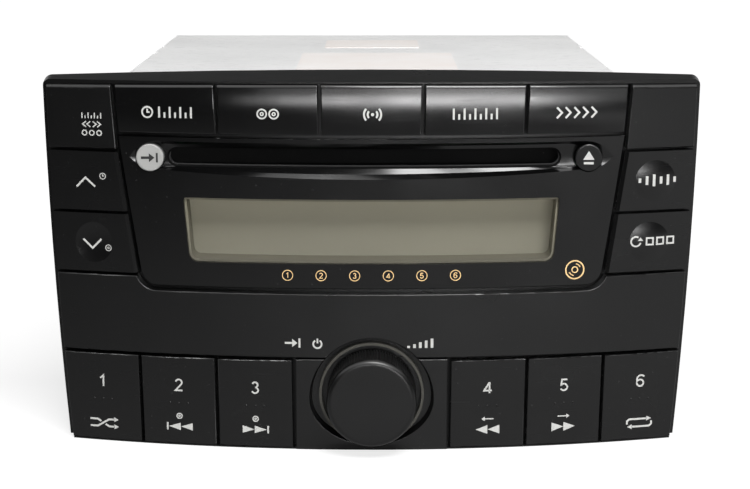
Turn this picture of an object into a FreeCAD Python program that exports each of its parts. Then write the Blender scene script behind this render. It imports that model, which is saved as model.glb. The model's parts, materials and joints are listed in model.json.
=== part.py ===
import FreeCAD, Part
import math
import os

V = FreeCAD.Vector

# The radio stands on the bottom edge of its face. X is to the viewer's right, Y goes from the face
# to the rear, Z is up. While it is built, y = 0 is the face moulding's rear plane. Millimetres.

# Face: its front is part of an upright cylinder, and its outline is bowed on three sides
FACE_RADIUS = 430.0
FACE_DEPTH = 26.0
TILE_HALF_LOW = 110.4
TILE_HALF_MID = 114.4
TILE_HALF_HIGH = 116.3
MID_Z = 64.0
ROOF_FRONT_Z = 133.2
ROOF_RISE = 2.3
ROOF_ARCH = 1.8
RIM_FLARE = 2.6
RIM_CORNER = 3.4
BEZEL_WALL = 2.2
FOOT_TRIM = 1.0
CURVE_Y = FACE_RADIUS - FACE_DEPTH

# Depths below the front surface, measured square to it
DECK_INSET = 5.5
DECK_THICKNESS = 2.0
PANEL_INSET = 2.0
PANEL_FLANGE = 3.4
PANEL_CORE_BACK = 9.5
ROOF_LIP_INSET = 1.8
KEY_THICKNESS = 3.9

# Seams
SEAM = 1.1
HAIRLINE = 0.3
SEAT_GAP = 0.1
EDGE_ROUND = 0.35
MERGE = 0.5

# Rows of keys, from the top down
TILE_TOP_Z = 132.8
TILE_TOP_ARCH = 1.6
TILE_ROLL = 1.5
TOP_KEY_BOTTOM_Z = 115.0
TOP_KEY_COUNT = 5
TOP_ROW_MARGIN = 24.7
TOP_ROW_SPLAY = 1.3
TOP_KEY_CREST = 4.5
TOP_KEY_ROUND = 0.4
TOP_KEY_ROLL_RADIUS = 84.0
TOP_KEY_STEM_Z = 123.5
PRESET_STEM_Z = 17.0
BAND_GAP = 1.6
CORNER_BLOCK_Z = 108.8
SIDE_KEY_HEIGHT = 21.3
BAND_TOP_Z = 62.9
BAND_BOTTOM_Z = 34.4
PRESET_PITCH_HIGH = 28.1
PRESET_PITCH_LOW = 27.9
PRESET_BOTTOM_Z = 0.8
FOOT_LIP_INSET = 0.6
FOOT_LIP_HEIGHT = 0.5
KEY_TRAVEL = 1.0
DIMPLE_RADIUS = 7.4
DIMPLE_DEPTH = 0.9
DIMPLE_SHIFT = 0.9
SIDE_KEY_BEVEL = 1.2

# Display panel, narrower at its foot
PANEL_TOP_Z = 113.6
PANEL_BOTTOM_Z = 59.4
COLUMN_WIDTH = 25.8
PANEL_SLOPE = 0.1475
PANEL_CORNER = 6.0
PANEL_LEDGE = 3.0
COLUMN_STEP = 1.1
BLOCK_WIDTH_TOP = 23.8

# Disc slot and the scoop round it
SLOT_Z = 105.9
SLOT_HEIGHT = 7.0
SLOT_LEFT_MARGIN = 5.9
SLOT_RIGHT_MARGIN = 9.6
SCOOP_DEPTH = 3.2
SCOOP_TIP_MARGIN = 3.9
SCOOP_TIP_LENGTH = 10.6
SCOOP_SAG = 2.8
SCOOP_TOP_Z = 111.9
SCOOP_BOTTOM_Z = 98.9
SCOOP_SHOULDER_OUT = 2.0
SCOOP_BULGE_LOW = 0.5
SCOOP_BULGE_HIGH = 0.7
SCOOP_LEAD = 0.1
SCOOP_ROLL_SHARE = 0.5
SCOOP_ROLL_RISE = 1.35
SCOOP_ROLL_LIMIT = 0.8
ROUND_KEY_RADIUS = 4.9
LOAD_KEY_MARGIN = 7.7
EJECT_KEY_MARGIN = 9.3
ROUND_KEY_INSET = 1.3
ROUND_KEY_LENGTH = 7.0
ROUND_KEY_ROUND = 0.5
ROUND_STEM_RADIUS = 2.0
FELT_THICKNESS = 0.7

# Flap behind the slot, hung on two pins
FLAP_Y = -6.5
FLAP_Z = 111.4
FLAP_FOOT_Z = 101.2
FLAP_THICKNESS = 1.0
FLAP_PIN = 0.9
FLAP_EAR = 3.0
FLAP_EAR_HALF_HEIGHT = 1.9
FLAP_EAR_GAP = 0.4
FLAP_SWING_LOW = 1.0
FLAP_SWING_HIGH = 2.0

# Window
WINDOW_HALF_TOP = 67.2
WINDOW_HALF_LOW = 65.3
WINDOW_TOP_Z = 91.8
WINDOW_BOTTOM_Z = 68.4
WINDOW_CORNER = 3.6
WINDOW_TOP_CORNER = 1.2
LENS_THICKNESS = 1.5
WELL_DEPTH = 10.0
WELL_WALL = 0.9
FILTER_THICKNESS = 1.0

# Knob, its ring and the dish round it
KNOB_Z = 21.0
KNOB_RADIUS = 16.0
KNOB_FRONT_Y = -38.7
KNOB_BACK_Y = -23.2
KNOB_BEVEL = 1.8
KNOB_TRAVEL = 0.8
KNOB_WALL = 1.8
KNOB_CROWN = 2.6
KNOB_HUB_RADIUS = 5.5
DISH_Z = 19.2
DISH_RADIUS = 22.4
DISH_LOW = 17.0
DISH_DRAFT = 0.8
DISH_FLOOR_Y = -21.3
RING_RADIUS = 18.9
RING_WIDTH = 0.9
RING_FRONT_Y = -25.3
SHAFT_RADIUS = 3.0
BORE_CLEARANCE = 0.05
SHAFT_FRONT_Y = -33.0
SHAFT_BACK_Y = -6.5
BUSH_FRONT_Y = -14.0
ENCODER_FRONT_Y = -9.5
ENCODER_SIZE = 12.0
ENCODER_HOLE_RADIUS = 8.0

# Board behind the face and its switches
BOARD_FRONT_Y = -3.0
BOARD_THICKNESS = 1.6
BOARD_MARGIN = 6.0
BOARD_LOW_Z = 4.0
BOARD_HIGH_Z = 127.0
BOARD_HOLE_GAP = 0.5
LCD_THICKNESS = 2.2
LCD_SIDE_MARGIN = 1.5
LCD_EDGE_MARGIN = 2.0
SWITCH_SIZE = 6.0
SWITCH_HEIGHT = 1.6
STEM_WIDTH = 6.0
STEM_HEIGHT = 5.0
STEM_CLEARANCE = 0.35
BOSS_MARGIN = 10.4
BOSS_LOW_Z = 8.5
BOSS_MIDDLE_Z = 50.0
BOSS_HIGH_Z = 120.0
BOSS_RADIUS = 3.2
PILOT_RADIUS = 1.25
SCREW_DEPTH = 5.5

# Steel box
CHASSIS_WIDTH = 178.0
CHASSIS_TOP_Z = 134.1
CHASSIS_HEIGHT = 100.0
CHASSIS_REAR_Y = 165.0
SHEET = 0.8
FOLD_GAP = 0.1
FOLD_RADIUS = 1.2
BACK_COVER_THICKNESS = 1.5
BACK_COVER_INSET = 0.7
COVER_SKIRT = 13.0
COVER_REAR_LIP = 5.0
OPENING_HALF = 80.0
OPENING_LOW_Z = 42.0
OPENING_HIGH_Z = 126.0
SIDE_TAB_Z = (50.0, 108.0)
SIDE_TAB_HALF = 5.0
SIDE_TAB_LENGTH = 11.0
SIDE_TAB_SCREW_Y = 7.0
NOTCH_WIDTH = 6.0
NOTCH_DEPTH = 1.8
LEFT_NOTCHES_Y = (78.0, 106.0)
RIGHT_NOTCH_Y = 104.0
SCREW_RADIUS = 1.5
SCREW_HEAD_RADIUS = 2.9
SCREW_HEAD_HEIGHT = 1.8
SCREW_LENGTH = 6.0
BORE_GAP = 0.1
HOLE_GAP = 0.2
SKIRT_SCREWS_Y = (20.0, 148.0)
SKIRT_SCREW_DROP = 6.5
REAR_TAB = 10.0
REAR_SCREW_X = 82.0
REAR_SCREW_LOW_Z = 42.0
REAR_SCREW_HIGH_Z = 124.0

# Blank stickers on its top
LABEL_THICKNESS = 0.15
LABEL_CORNER = 2.0
SMALL_LABEL_WIDTH = 39.5
SMALL_LABEL_DEPTH = 36.0
SMALL_LABEL_Y = 119.0
LARGE_LABEL_WIDTH = 60.0
LARGE_LABEL_DEPTH = 67.0
LARGE_LABEL_Y = 44.5
LARGE_LABEL_X = 2.0

# Fixings of the box
SIDE_HOLE_RADIUS = 2.5
SIDE_HOLE_PITCH_Y = 60.0
SIDE_HOLE_PITCH_Z = 40.0
SIDE_HOLE_Y = 75.0
SIDE_HOLE_Z = 80.0
WELD_NUT_RADIUS = 4.5
WELD_NUT_LENGTH = 3.0
STUD_RADIUS = 4.0
STUD_LENGTH = 15.0
STUD_X = 10.0
STUD_Z = 96.0
STUD_COLLAR_RADIUS = 7.0
STUD_COLLAR_LENGTH = 2.0
RIVET_RADIUS = 2.5

# Heat sink on the rear panel
SINK_LEFT = -86.0
SINK_RIGHT = -18.0
SINK_LOW_Z = 50.0
SINK_HIGH_Z = 116.0
SINK_BASE = 4.0
SINK_FIN = 1.6
SINK_FIN_DEPTH = 9.0
SINK_FIN_COUNT = 11
SINK_MARGIN = 7.0
SINK_SCREW_INSET = 3.4
SINK_PAD_RISE = 2.0

# Boards
BOARD_Z = 40.0
MAIN_BOARD_FRONT_Y = 8.0
MAIN_BOARD_REAR_Y = 155.0
STANDOFF_RADIUS = 3.4
STANDOFF_INSET = 6.0
AMP_X = -53.0
AMP_HALF = 15.0
AMP_THICKNESS = 4.8
AMP_REAR_Y = 158.3
AMP_LOW_Z = 44.0
AMP_HEIGHT = 18.0
CAPACITOR_RADIUS = 5.0
CAPACITOR_HEIGHT = 15.0
CAPACITOR_PITCH = 14.0
CAPACITOR_Y = 136.0
CHIP_HALF = 9.0
CHIP_HEIGHT = 1.8
CHIP_Y = 70.0
CHIP_PITCH = 45.0
COIL_HALF = 8.0
COIL_HEIGHT = 14.0
COIL_X = 60.0
COIL_Y = 118.0
RIBBON_WIDTH = 24.0
RIBBON_THICKNESS = 0.3
RIBBON_BEND = 3.0
RIBBON_Z = 52.0
RIBBON_Y = 7.0
RIBBON_PLUG = 5.0

# Sockets at the rear
SOCKET_REAR_Y = 174.0
SOCKET_FRONT_Y = 152.0
SOCKET_WALL = 2.0
PIN_WIDTH = 1.0
PIN_SHORT = 6.0
MAIN_SOCKET_X = 40.0
MAIN_SOCKET_WIDTH = 40.0
MAIN_SOCKET_HEIGHT = 22.0
MAIN_SOCKET_COLUMNS = 8
AUX_SOCKET_X = 2.0
AUX_SOCKET_WIDTH = 28.0
AUX_SOCKET_HEIGHT = 13.0
AUX_SOCKET_COLUMNS = 6
AERIAL_X = 70.5
AERIAL_Z = 60.0
AERIAL_RADIUS = 6.0
AERIAL_BORE_RADIUS = 4.2
AERIAL_BORE_DEPTH = 14.0
AERIAL_REAR_Y = 176.0
AERIAL_FLANGE = 16.0

# Changer's deck
DECK_Z = 62.0
DECK_SHEET = 1.2
DECK_FRONT_Y = 6.0
DECK_REAR_Y = 150.0
DECK_POST_RADIUS = 3.2
DECK_GAP = 0.3
DECK_POST_INSET = 6.0

# Stack of trays
TRAY_COUNT = 6
TRAY_PITCH = 5.0
TRAY_THICKNESS = 2.0
TRAY_HALF = 64.0
TRAY_CORNER = 5.0
TRAY_CENTRE_Y = 88.0
DISC_RADIUS = 60.0
DISC_THICKNESS = 1.2
DISC_GAP = 0.5
DISC_POCKET_DEPTH = 0.8
TRAY_OPENING = 25.0
TRAY_POST_INSET = 7.0
TRAY_POST_RADIUS = 2.0
TRAY_POST_GAP = 0.3

# Feed roller and its motor
ROLLER_Y = 13.0
ROLLER_RADIUS = 4.0
ROLLER_HALF = 65.0
ROLLER_SHAFT_RADIUS = 1.5
ROLLER_SHAFT_END = 0.8
BRACKET_X = 70.0
BRACKET_SHEET = 2.0
BRACKET_HALF_DEPTH = 6.5
RUNNING_GAP = 0.05
GEAR_MODULE = 0.75
GEAR_WIDTH = 3.0
GEAR_X = 74.0
ROLLER_TEETH = 24
PINION_TEETH = 8
LOADING_MOTOR_RADIUS = 6.5
LOADING_MOTOR_LENGTH = 20.0
PINION_SHAFT_RADIUS = 1.0
PINION_SHAFT_DEPTH = 4.0

# Turntable and its motor
SPINDLE_MOTOR_RADIUS = 10.5
SPINDLE_MOTOR_HEIGHT = 8.3
TURNTABLE_Z = 73.5
TURNTABLE_RADIUS = 14.0
TURNTABLE_THICKNESS = 1.5
SPINDLE_HUB_RADIUS = 7.4
SPINDLE_HUB_HEIGHT = 2.0
SPINDLE_RADIUS = 1.5

# Pickup sled, its rods and screw
SLED_TRAVEL = 34.0
SLED_HALF = 19.0
SLED_LENGTH = 20.0
SLED_END_GAP = 0.5
SLED_FRONT_GAP = 3.5
SLED_LOW_Z = 64.5
SLED_HEIGHT = 8.0
LENS_RADIUS = 3.0
LENS_HEIGHT = 1.4
ROD_X = 14.0
ROD_Z = 67.5
ROD_RADIUS = 1.5
WALL_SHEET = 2.0
WALL_HEIGHT = 8.8
LEAD_SCREW_X = 24.0
LEAD_SCREW_Z = 69.0
LEAD_SCREW_RADIUS = 1.8
SLED_MOTOR_RADIUS = 5.0
SLED_MOTOR_LENGTH = 10.0

# How far the solids that cut or trim the face reach past it
CUT_FRONT_Y = -60.0
CUT_REAR_Y = 20.0
SIDE_REACH = 10.0
SWEEP_DEG = 36.0
BENT_POINTS = 13

# Places that follow from the sizes
TOP_ROW_HALF_HIGH = TILE_HALF_HIGH - TOP_ROW_MARGIN
TOP_ROW_HALF_LOW = TOP_ROW_HALF_HIGH - TOP_ROW_SPLAY
PANEL_HALF_TOP = TILE_HALF_HIGH - COLUMN_WIDTH
BLOCK_HALF_TOP = TILE_HALF_HIGH - BLOCK_WIDTH_TOP
SCOOP_TIP_HALF = PANEL_HALF_TOP - SCOOP_TIP_MARGIN
SCOOP_FLAT_HALF = SCOOP_TIP_HALF - SCOOP_TIP_LENGTH
LOAD_KEY_X = LOAD_KEY_MARGIN - SCOOP_TIP_HALF
EJECT_KEY_X = SCOOP_TIP_HALF - EJECT_KEY_MARGIN
SLOT_LEFT = LOAD_KEY_X + SLOT_LEFT_MARGIN
SLOT_RIGHT = EJECT_KEY_X - SLOT_RIGHT_MARGIN
BOSS_X = TILE_HALF_LOW - BOSS_MARGIN
BOARD_HALF = BOSS_X + BOARD_MARGIN
STEM_END_Y = BOARD_FRONT_Y - SWITCH_HEIGHT - KEY_TRAVEL - HAIRLINE
CHASSIS_HALF = CHASSIS_WIDTH / 2
CHASSIS_FLOOR_Z = CHASSIS_TOP_Z - CHASSIS_HEIGHT
TUB_HALF = CHASSIS_HALF - SHEET - FOLD_GAP
TUB_INSIDE_HALF = TUB_HALF - SHEET
SIDE_TAB_OUTER_X = TUB_HALF + FOLD_GAP + BACK_COVER_THICKNESS
TUB_INSIDE_Z = CHASSIS_FLOOR_Z + SHEET
TUB_TOP_Z = CHASSIS_TOP_Z - SHEET - FOLD_GAP
TUB_REAR_Y = CHASSIS_REAR_Y - 2 * SHEET - FOLD_GAP
REAR_FACE_Y = TUB_REAR_Y + SHEET
STUD_TIP_Y = REAR_FACE_Y + STUD_COLLAR_LENGTH + STUD_LENGTH
BOARD_TOP_Z = BOARD_Z + BOARD_THICKNESS
DECK_HALF = TUB_INSIDE_HALF - WELD_NUT_LENGTH - DECK_GAP
DECK_POST_X = DECK_HALF - DECK_POST_RADIUS
MAIN_BOARD_HALF = DECK_POST_X - DECK_POST_RADIUS - DECK_GAP
DECK_TOP_Z = DECK_Z + DECK_SHEET
TRAY_RISE = TRAY_PITCH * (TRAY_COUNT - 1)
DISC_FLOOR_Z = SLOT_Z - DISC_THICKNESS / 2
TRAY_LOW_Z = DISC_FLOOR_Z - TRAY_THICKNESS + DISC_POCKET_DEPTH - TRAY_RISE
ROLLER_Z = DISC_FLOOR_Z - ROLLER_RADIUS
PINION_Z = ROLLER_Z - GEAR_MODULE * (ROLLER_TEETH + PINION_TEETH) / 2
WALL_REAR_Y = TRAY_CENTRE_Y - SPINDLE_MOTOR_RADIUS - SLED_END_GAP - WALL_SHEET
SLED_INNER_Y = WALL_REAR_Y - SLED_END_GAP
WALL_FRONT_Y = SLED_INNER_Y - SLED_LENGTH - SLED_TRAVEL - SLED_FRONT_GAP - WALL_SHEET
MIDDLE_Y = (KNOB_FRONT_Y + STUD_TIP_Y) / 2


def box(x0, x1, y0, y1, z0, z1):
    return Part.makeBox(x1 - x0, y1 - y0, z1 - z0, V(x0, y0, z0))


def rod_x(y, z, radius, x0, x1):
    return Part.makeCylinder(radius, x1 - x0, V(x0, y, z), V(1, 0, 0))


def rod_y(x, z, radius, y0, y1):
    return Part.makeCylinder(radius, y1 - y0, V(x, y0, z), V(0, 1, 0))


def rod_z(x, y, radius, z0, z1):
    return Part.makeCylinder(radius, z1 - z0, V(x, y, z0), V(0, 0, 1))


def joined(shapes):
    whole = shapes[0].fuse(shapes[1:]) if len(shapes) > 1 else shapes[0]
    return whole.removeSplitter()


def group(shapes):
    return Part.makeCompound(shapes)


def corners_face(points):
    """A flat face in the XZ plane with straight edges between (x, z) points."""
    loop = [V(x, 0, z) for x, z in points]
    return Part.Face(Part.makePolygon(loop + loop[:1]))


def prism(face, y0=CUT_FRONT_Y, y1=CUT_REAR_Y):
    """A face in the XZ plane, swept from y0 to y1."""
    moved = face.copy()
    moved.translate(V(0, y0, 0))
    return moved.extrude(V(0, y1 - y0, 0))


def surface_y(x, inset=0.0):
    """y of the face's curved surface, inset below its front."""
    return CURVE_Y - math.sqrt((FACE_RADIUS - inset) ** 2 - x * x)


def shell(front, back, low=-5.0, high=145.0):
    """The curved layer between two depths below the face's front surface."""
    y0 = -FACE_DEPTH + front
    y1 = -FACE_DEPTH + back
    loop = [V(0, y0, low), V(0, y1, low), V(0, y1, high), V(0, y0, high)]
    face = Part.Face(Part.makePolygon(loop + loop[:1]))
    face.rotate(V(0, CURVE_Y, 0), V(0, 0, 1), -SWEEP_DEG / 2)
    return face.revolve(V(0, CURVE_Y, 0), V(0, 0, 1), SWEEP_DEG)


def depth_of(point):
    """How far a point lies below the face's front surface."""
    return FACE_RADIUS - math.hypot(point.x, point.y - CURVE_Y)


def layer_edges(shape, inset=0.0, slack=0.02):
    """The edges that lie in the curved surface at that depth."""
    found = []
    for edge in shape.Edges:
        middle = edge.valueAt((edge.FirstParameter + edge.LastParameter) / 2)
        ends = [vertex.Point for vertex in edge.Vertexes]
        if all(abs(depth_of(point) - inset) < slack for point in ends + [middle]):
            found.append(edge)
    return found


def face_outline(y, grow, roof_z, floor_z=0.0):
    """The face's outline at one depth: flat foot, bowed sides and an arched roof."""
    eaves = roof_z - ROOF_ARCH
    left = [V(-TILE_HALF_LOW - grow, y, floor_z), V(-TILE_HALF_MID - grow, y, MID_Z),
            V(-TILE_HALF_HIGH - grow, y, eaves)]
    right = [V(-point.x, y, point.z) for point in left]
    edges = [
        Part.makeLine(left[0], right[0]),
        Part.Arc(right[0], right[1], right[2]).toShape(),
        Part.Arc(right[2], V(0, y, roof_z), left[2]).toShape(),
        Part.Arc(left[2], left[1], left[0]).toShape(),
    ]
    return Part.Wire(edges)


def rim_body():
    """The flared block that the bezel is cut from, trimmed flat at its foot."""
    below = -FOOT_TRIM
    rear = face_outline(0, RIM_FLARE, ROOF_FRONT_Z + ROOF_RISE, below)
    front = face_outline(-FACE_DEPTH - 2, 0, ROOF_FRONT_Z, below)
    whole = Part.makeLoft([rear, front], True, True)
    corners = []
    for edge in whole.Edges:
        a, b = [vertex.Point for vertex in edge.Vertexes]
        if abs(a.y - b.y) > FACE_DEPTH and min(a.z, b.z) > MID_Z:
            corners.append(edge)
    above = box(-2 * TILE_HALF_HIGH, 2 * TILE_HALF_HIGH, CUT_FRONT_Y, CUT_REAR_Y, 0.0, 2 * ROOF_FRONT_Z)
    return whole.makeFillet(RIM_CORNER, corners).common(above)


def tile_body():
    """Everything inside the tiles' outer edge, as a straight prism."""
    return Part.Face(face_outline(CUT_FRONT_Y, 0, ROOF_FRONT_Z)).extrude(V(0, CUT_REAR_Y - CUT_FRONT_Y, 0))


def tile_top(x):
    """Top edge of the corner blocks and the top keys, arched."""
    return TILE_TOP_Z - TILE_TOP_ARCH * (x / TILE_HALF_HIGH) ** 2


def panel_half(z):
    return PANEL_HALF_TOP - PANEL_SLOPE * (PANEL_TOP_Z - z)


def column_half(z):
    return panel_half(z) + COLUMN_STEP


def corner_edges(slab, z):
    """The edges of an upright slab that run from front to rear at height z."""
    found = []
    for edge in slab.Edges:
        bounds = edge.BoundBox
        if bounds.YLength > 5 and abs(bounds.ZMin - z) < 0.01 and abs(bounds.ZMax - z) < 0.01:
            found.append(edge)
    return found


def panel_face():
    """Outline of the display panel, with its two lower corners rounded."""
    half_top = panel_half(PANEL_TOP_Z)
    half_low = panel_half(PANEL_BOTTOM_Z)
    points = [(-half_low, PANEL_BOTTOM_Z), (half_low, PANEL_BOTTOM_Z),
              (half_top, PANEL_TOP_Z), (-half_top, PANEL_TOP_Z)]
    slab = prism(corners_face(points), 0.0, 10.0)
    slab = slab.makeFillet(PANEL_CORNER, corner_edges(slab, PANEL_BOTTOM_Z))
    return front_face(slab, 0.0)


def front_face(solid, y):
    """The flat face of a solid that lies in the plane at y."""
    for face in solid.Faces:
        box_of = face.BoundBox
        if abs(box_of.YMin - y) < 1e-6 and abs(box_of.YMax - y) < 1e-6:
            return face
    return None


def window_face(grow=0.0):
    """Outline of the display window, with rounded lower corners and nearly square upper ones."""
    points = [(-WINDOW_HALF_LOW, WINDOW_BOTTOM_Z), (WINDOW_HALF_LOW, WINDOW_BOTTOM_Z),
              (WINDOW_HALF_TOP, WINDOW_TOP_Z), (-WINDOW_HALF_TOP, WINDOW_TOP_Z)]
    slab = prism(corners_face(points), 0.0, 10.0)
    slab = slab.makeFillet(WINDOW_CORNER, corner_edges(slab, WINDOW_BOTTOM_Z))
    slab = slab.makeFillet(WINDOW_TOP_CORNER, corner_edges(slab, WINDOW_TOP_Z))
    face = front_face(slab, 0.0)
    return face.makeOffset2D(grow) if grow else face


def stadium_face(x0, x1, z, height, grow=0.0):
    r = height / 2 + grow
    a = x0 + height / 2
    b = x1 - height / 2
    edges = [
        Part.makeLine(V(a, 0, z - r), V(b, 0, z - r)),
        Part.Arc(V(b, 0, z - r), V(b + r, 0, z), V(b, 0, z + r)).toShape(),
        Part.makeLine(V(b, 0, z + r), V(a, 0, z + r)),
        Part.Arc(V(a, 0, z + r), V(a - r, 0, z), V(a, 0, z - r)).toShape(),
    ]
    return Part.Face(Part.Wire(edges))


def bent(edge, inset):
    """A planar edge laid onto the face's curved surface, inset below its front."""
    points = [V(point.x, surface_y(point.x, inset), point.z) for point in edge.discretize(BENT_POINTS)]
    curve = Part.BSplineCurve()
    curve.interpolate(points)
    return curve.toShape()


def scoop_edges():
    """The scoop's lens-shaped mouth, from its lower left corner round to the left tip and back."""
    left, right = -SCOOP_FLAT_HALF, SCOOP_FLAT_HALF
    shoulder = (SCOOP_TIP_HALF + SCOOP_FLAT_HALF) / 2 + SCOOP_SHOULDER_OUT
    low = SCOOP_BOTTOM_Z + SCOOP_SAG
    under = (low + SLOT_Z) / 2 - SCOOP_BULGE_LOW
    over = (SCOOP_TOP_Z + SLOT_Z) / 2 + SCOOP_BULGE_HIGH
    return [
        Part.Arc(V(left, 0, low), V(0, 0, SCOOP_BOTTOM_Z), V(right, 0, low)).toShape(),
        Part.Arc(V(right, 0, low), V(shoulder, 0, under), V(SCOOP_TIP_HALF, 0, SLOT_Z)).toShape(),
        Part.Arc(V(SCOOP_TIP_HALF, 0, SLOT_Z), V(shoulder, 0, over), V(right, 0, SCOOP_TOP_Z)).toShape(),
        Part.makeLine(V(right, 0, SCOOP_TOP_Z), V(left, 0, SCOOP_TOP_Z)),
        Part.Arc(V(left, 0, SCOOP_TOP_Z), V(-shoulder, 0, over), V(-SCOOP_TIP_HALF, 0, SLOT_Z)).toShape(),
        Part.Arc(V(-SCOOP_TIP_HALF, 0, SLOT_Z), V(-shoulder, 0, under), V(left, 0, low)).toShape(),
    ]


def slot_edges():
    """The slot's stadium, in the same order as the scoop's edges."""
    r = SLOT_HEIGHT / 2
    k = r * math.sqrt(0.5)
    left, right = SLOT_LEFT + r, SLOT_RIGHT - r
    low, high = SLOT_Z - r, SLOT_Z + r
    return [
        Part.makeLine(V(left, 0, low), V(right, 0, low)),
        Part.Arc(V(right, 0, low), V(right + k, 0, SLOT_Z - k), V(right + r, 0, SLOT_Z)).toShape(),
        Part.Arc(V(right + r, 0, SLOT_Z), V(right + k, 0, SLOT_Z + k), V(right, 0, high)).toShape(),
        Part.makeLine(V(right, 0, high), V(left, 0, high)),
        Part.Arc(V(left, 0, high), V(left - k, 0, SLOT_Z + k), V(left - r, 0, SLOT_Z)).toShape(),
        Part.Arc(V(left - r, 0, SLOT_Z), V(left - k, 0, SLOT_Z - k), V(left, 0, low)).toShape(),
    ]


def flat_wire(edges, y):
    wire = Part.Wire(edges)
    wire.translate(V(0, y, 0))
    return wire


def rolled_edge(mouth, slot):
    """Where the scoop's steep outer part turns into its flatter inner part."""
    points = []
    for outer, inner in zip(mouth.discretize(BENT_POINTS), slot.discretize(BENT_POINTS)):
        step = (inner - outer) * SCOOP_ROLL_SHARE
        inset = min(PANEL_INSET + step.Length / SCOOP_ROLL_RISE, PANEL_INSET + SCOOP_DEPTH * SCOOP_ROLL_LIMIT)
        place = outer + step
        points.append(V(place.x, surface_y(place.x, inset), place.z))
    curve = Part.BSplineCurve()
    curve.interpolate(points)
    return curve.toShape()


def scoop_cut():
    """The scoop and the slot behind it as one solid, from in front of the panel to behind it."""
    mouth, slot = scoop_edges(), slot_edges()
    sections = [
        flat_wire(mouth, -FACE_DEPTH - SIDE_REACH),
        Part.Wire([bent(edge, PANEL_INSET - SCOOP_LEAD) for edge in mouth]),
        Part.Wire([rolled_edge(outer, inner) for outer, inner in zip(mouth, slot)]),
        Part.Wire([bent(edge, PANEL_INSET + SCOOP_DEPTH) for edge in slot]),
        flat_wire(slot, 0.0),
    ]
    return Part.makeLoft(sections, True, True)


def stem(x, z, top_inset, width=STEM_WIDTH, height=STEM_HEIGHT):
    """The post behind a key that reaches back to its switch."""
    y0 = surface_y(abs(x) - width / 2, top_inset) - MERGE
    return box(x - width / 2, x + width / 2, y0, STEM_END_Y, z - height / 2, z + height / 2)


def stem_hole(x, z, width=STEM_WIDTH, height=STEM_HEIGHT):
    c = STEM_CLEARANCE
    return box(x - width / 2 - c, x + width / 2 + c, CUT_FRONT_Y, BOARD_FRONT_Y,
               z - height / 2 - c, z + height / 2 + c)


def rounded(shape, radius, inset=0.0, slack=0.02):
    return shape.makeFillet(radius, layer_edges(shape, inset, slack))


def key_profile():
    """The top keys' layer in section, its front rolled back towards the roof."""
    high = TILE_TOP_Z + SIDE_REACH
    low = TOP_KEY_BOTTOM_Z - SIDE_REACH
    middle = TOP_KEY_BOTTOM_Z + TOP_KEY_CREST
    front = -FACE_DEPTH
    back = front + KEY_THICKNESS
    top = front + (high - middle) ** 2 / (2 * TOP_KEY_ROLL_RADIUS)
    foot = front + (middle - low) ** 2 / (2 * TOP_KEY_ROLL_RADIUS)
    edges = [
        Part.Arc(V(0, foot, low), V(0, front, middle), V(0, top, high)).toShape(),
        Part.makeLine(V(0, top, high), V(0, back, high)),
        Part.makeLine(V(0, back, high), V(0, back, low)),
        Part.makeLine(V(0, back, low), V(0, foot, low)),
    ]
    face = Part.Face(Part.Wire(edges))
    face.rotate(V(0, CURVE_Y, 0), V(0, 0, 1), -SWEEP_DEG / 2)
    return face.revolve(V(0, CURVE_Y, 0), V(0, 0, 1), SWEEP_DEG)


def key_corners(x0_low, x1_low, x0_high, x1_high, low, high):
    return [(x0_low, low), (x1_low, low), (x1_high, high(x1_high)), (x0_high, high(x0_high))]


def top_key_span(index, half):
    """Left and right edge of a top key where the row's half-width is half."""
    pitch = 2 * half / TOP_KEY_COUNT
    left = -half + index * pitch
    return left + SEAM / 2, left + pitch - SEAM / 2


def front_of(tile):
    return min(tile.Faces, key=lambda part: depth_of(part.CenterOfMass))


def height_of(edge):
    return edge.CenterOfMass.z


def soft_tile(tile, radius):
    """A tile whose top is rolled back towards the roof, with its other front edges rounded."""
    tile = tile.makeFillet(TILE_ROLL, [max(front_of(tile).Edges, key=height_of)])
    edges = sorted(front_of(tile).Edges, key=height_of)
    return tile.makeFillet(radius, edges[:-1])


def make_top_key(index, layer):
    low = top_key_span(index, TOP_ROW_HALF_LOW)
    high = top_key_span(index, TOP_ROW_HALF_HIGH)
    face = corners_face(key_corners(low[0], low[1], high[0], high[1], TOP_KEY_BOTTOM_Z, tile_top))
    cap = soft_tile(prism(face).common(layer), TOP_KEY_ROUND)
    x = (low[0] + low[1]) / 2
    return joined([cap, stem(x, TOP_KEY_STEM_Z, KEY_THICKNESS)])


def side_key_rows():
    upper = (CORNER_BLOCK_Z - SEAM - SIDE_KEY_HEIGHT, CORNER_BLOCK_Z - SEAM)
    lower = (upper[0] - SEAM - SIDE_KEY_HEIGHT, upper[0] - SEAM)
    return {"upper": upper, "lower": lower}


def side_key_centre(row):
    low, high = side_key_rows()[row]
    z = (low + high) / 2
    return (column_half(z) + TILE_HALF_HIGH) / 2 - DIMPLE_SHIFT, z


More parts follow.
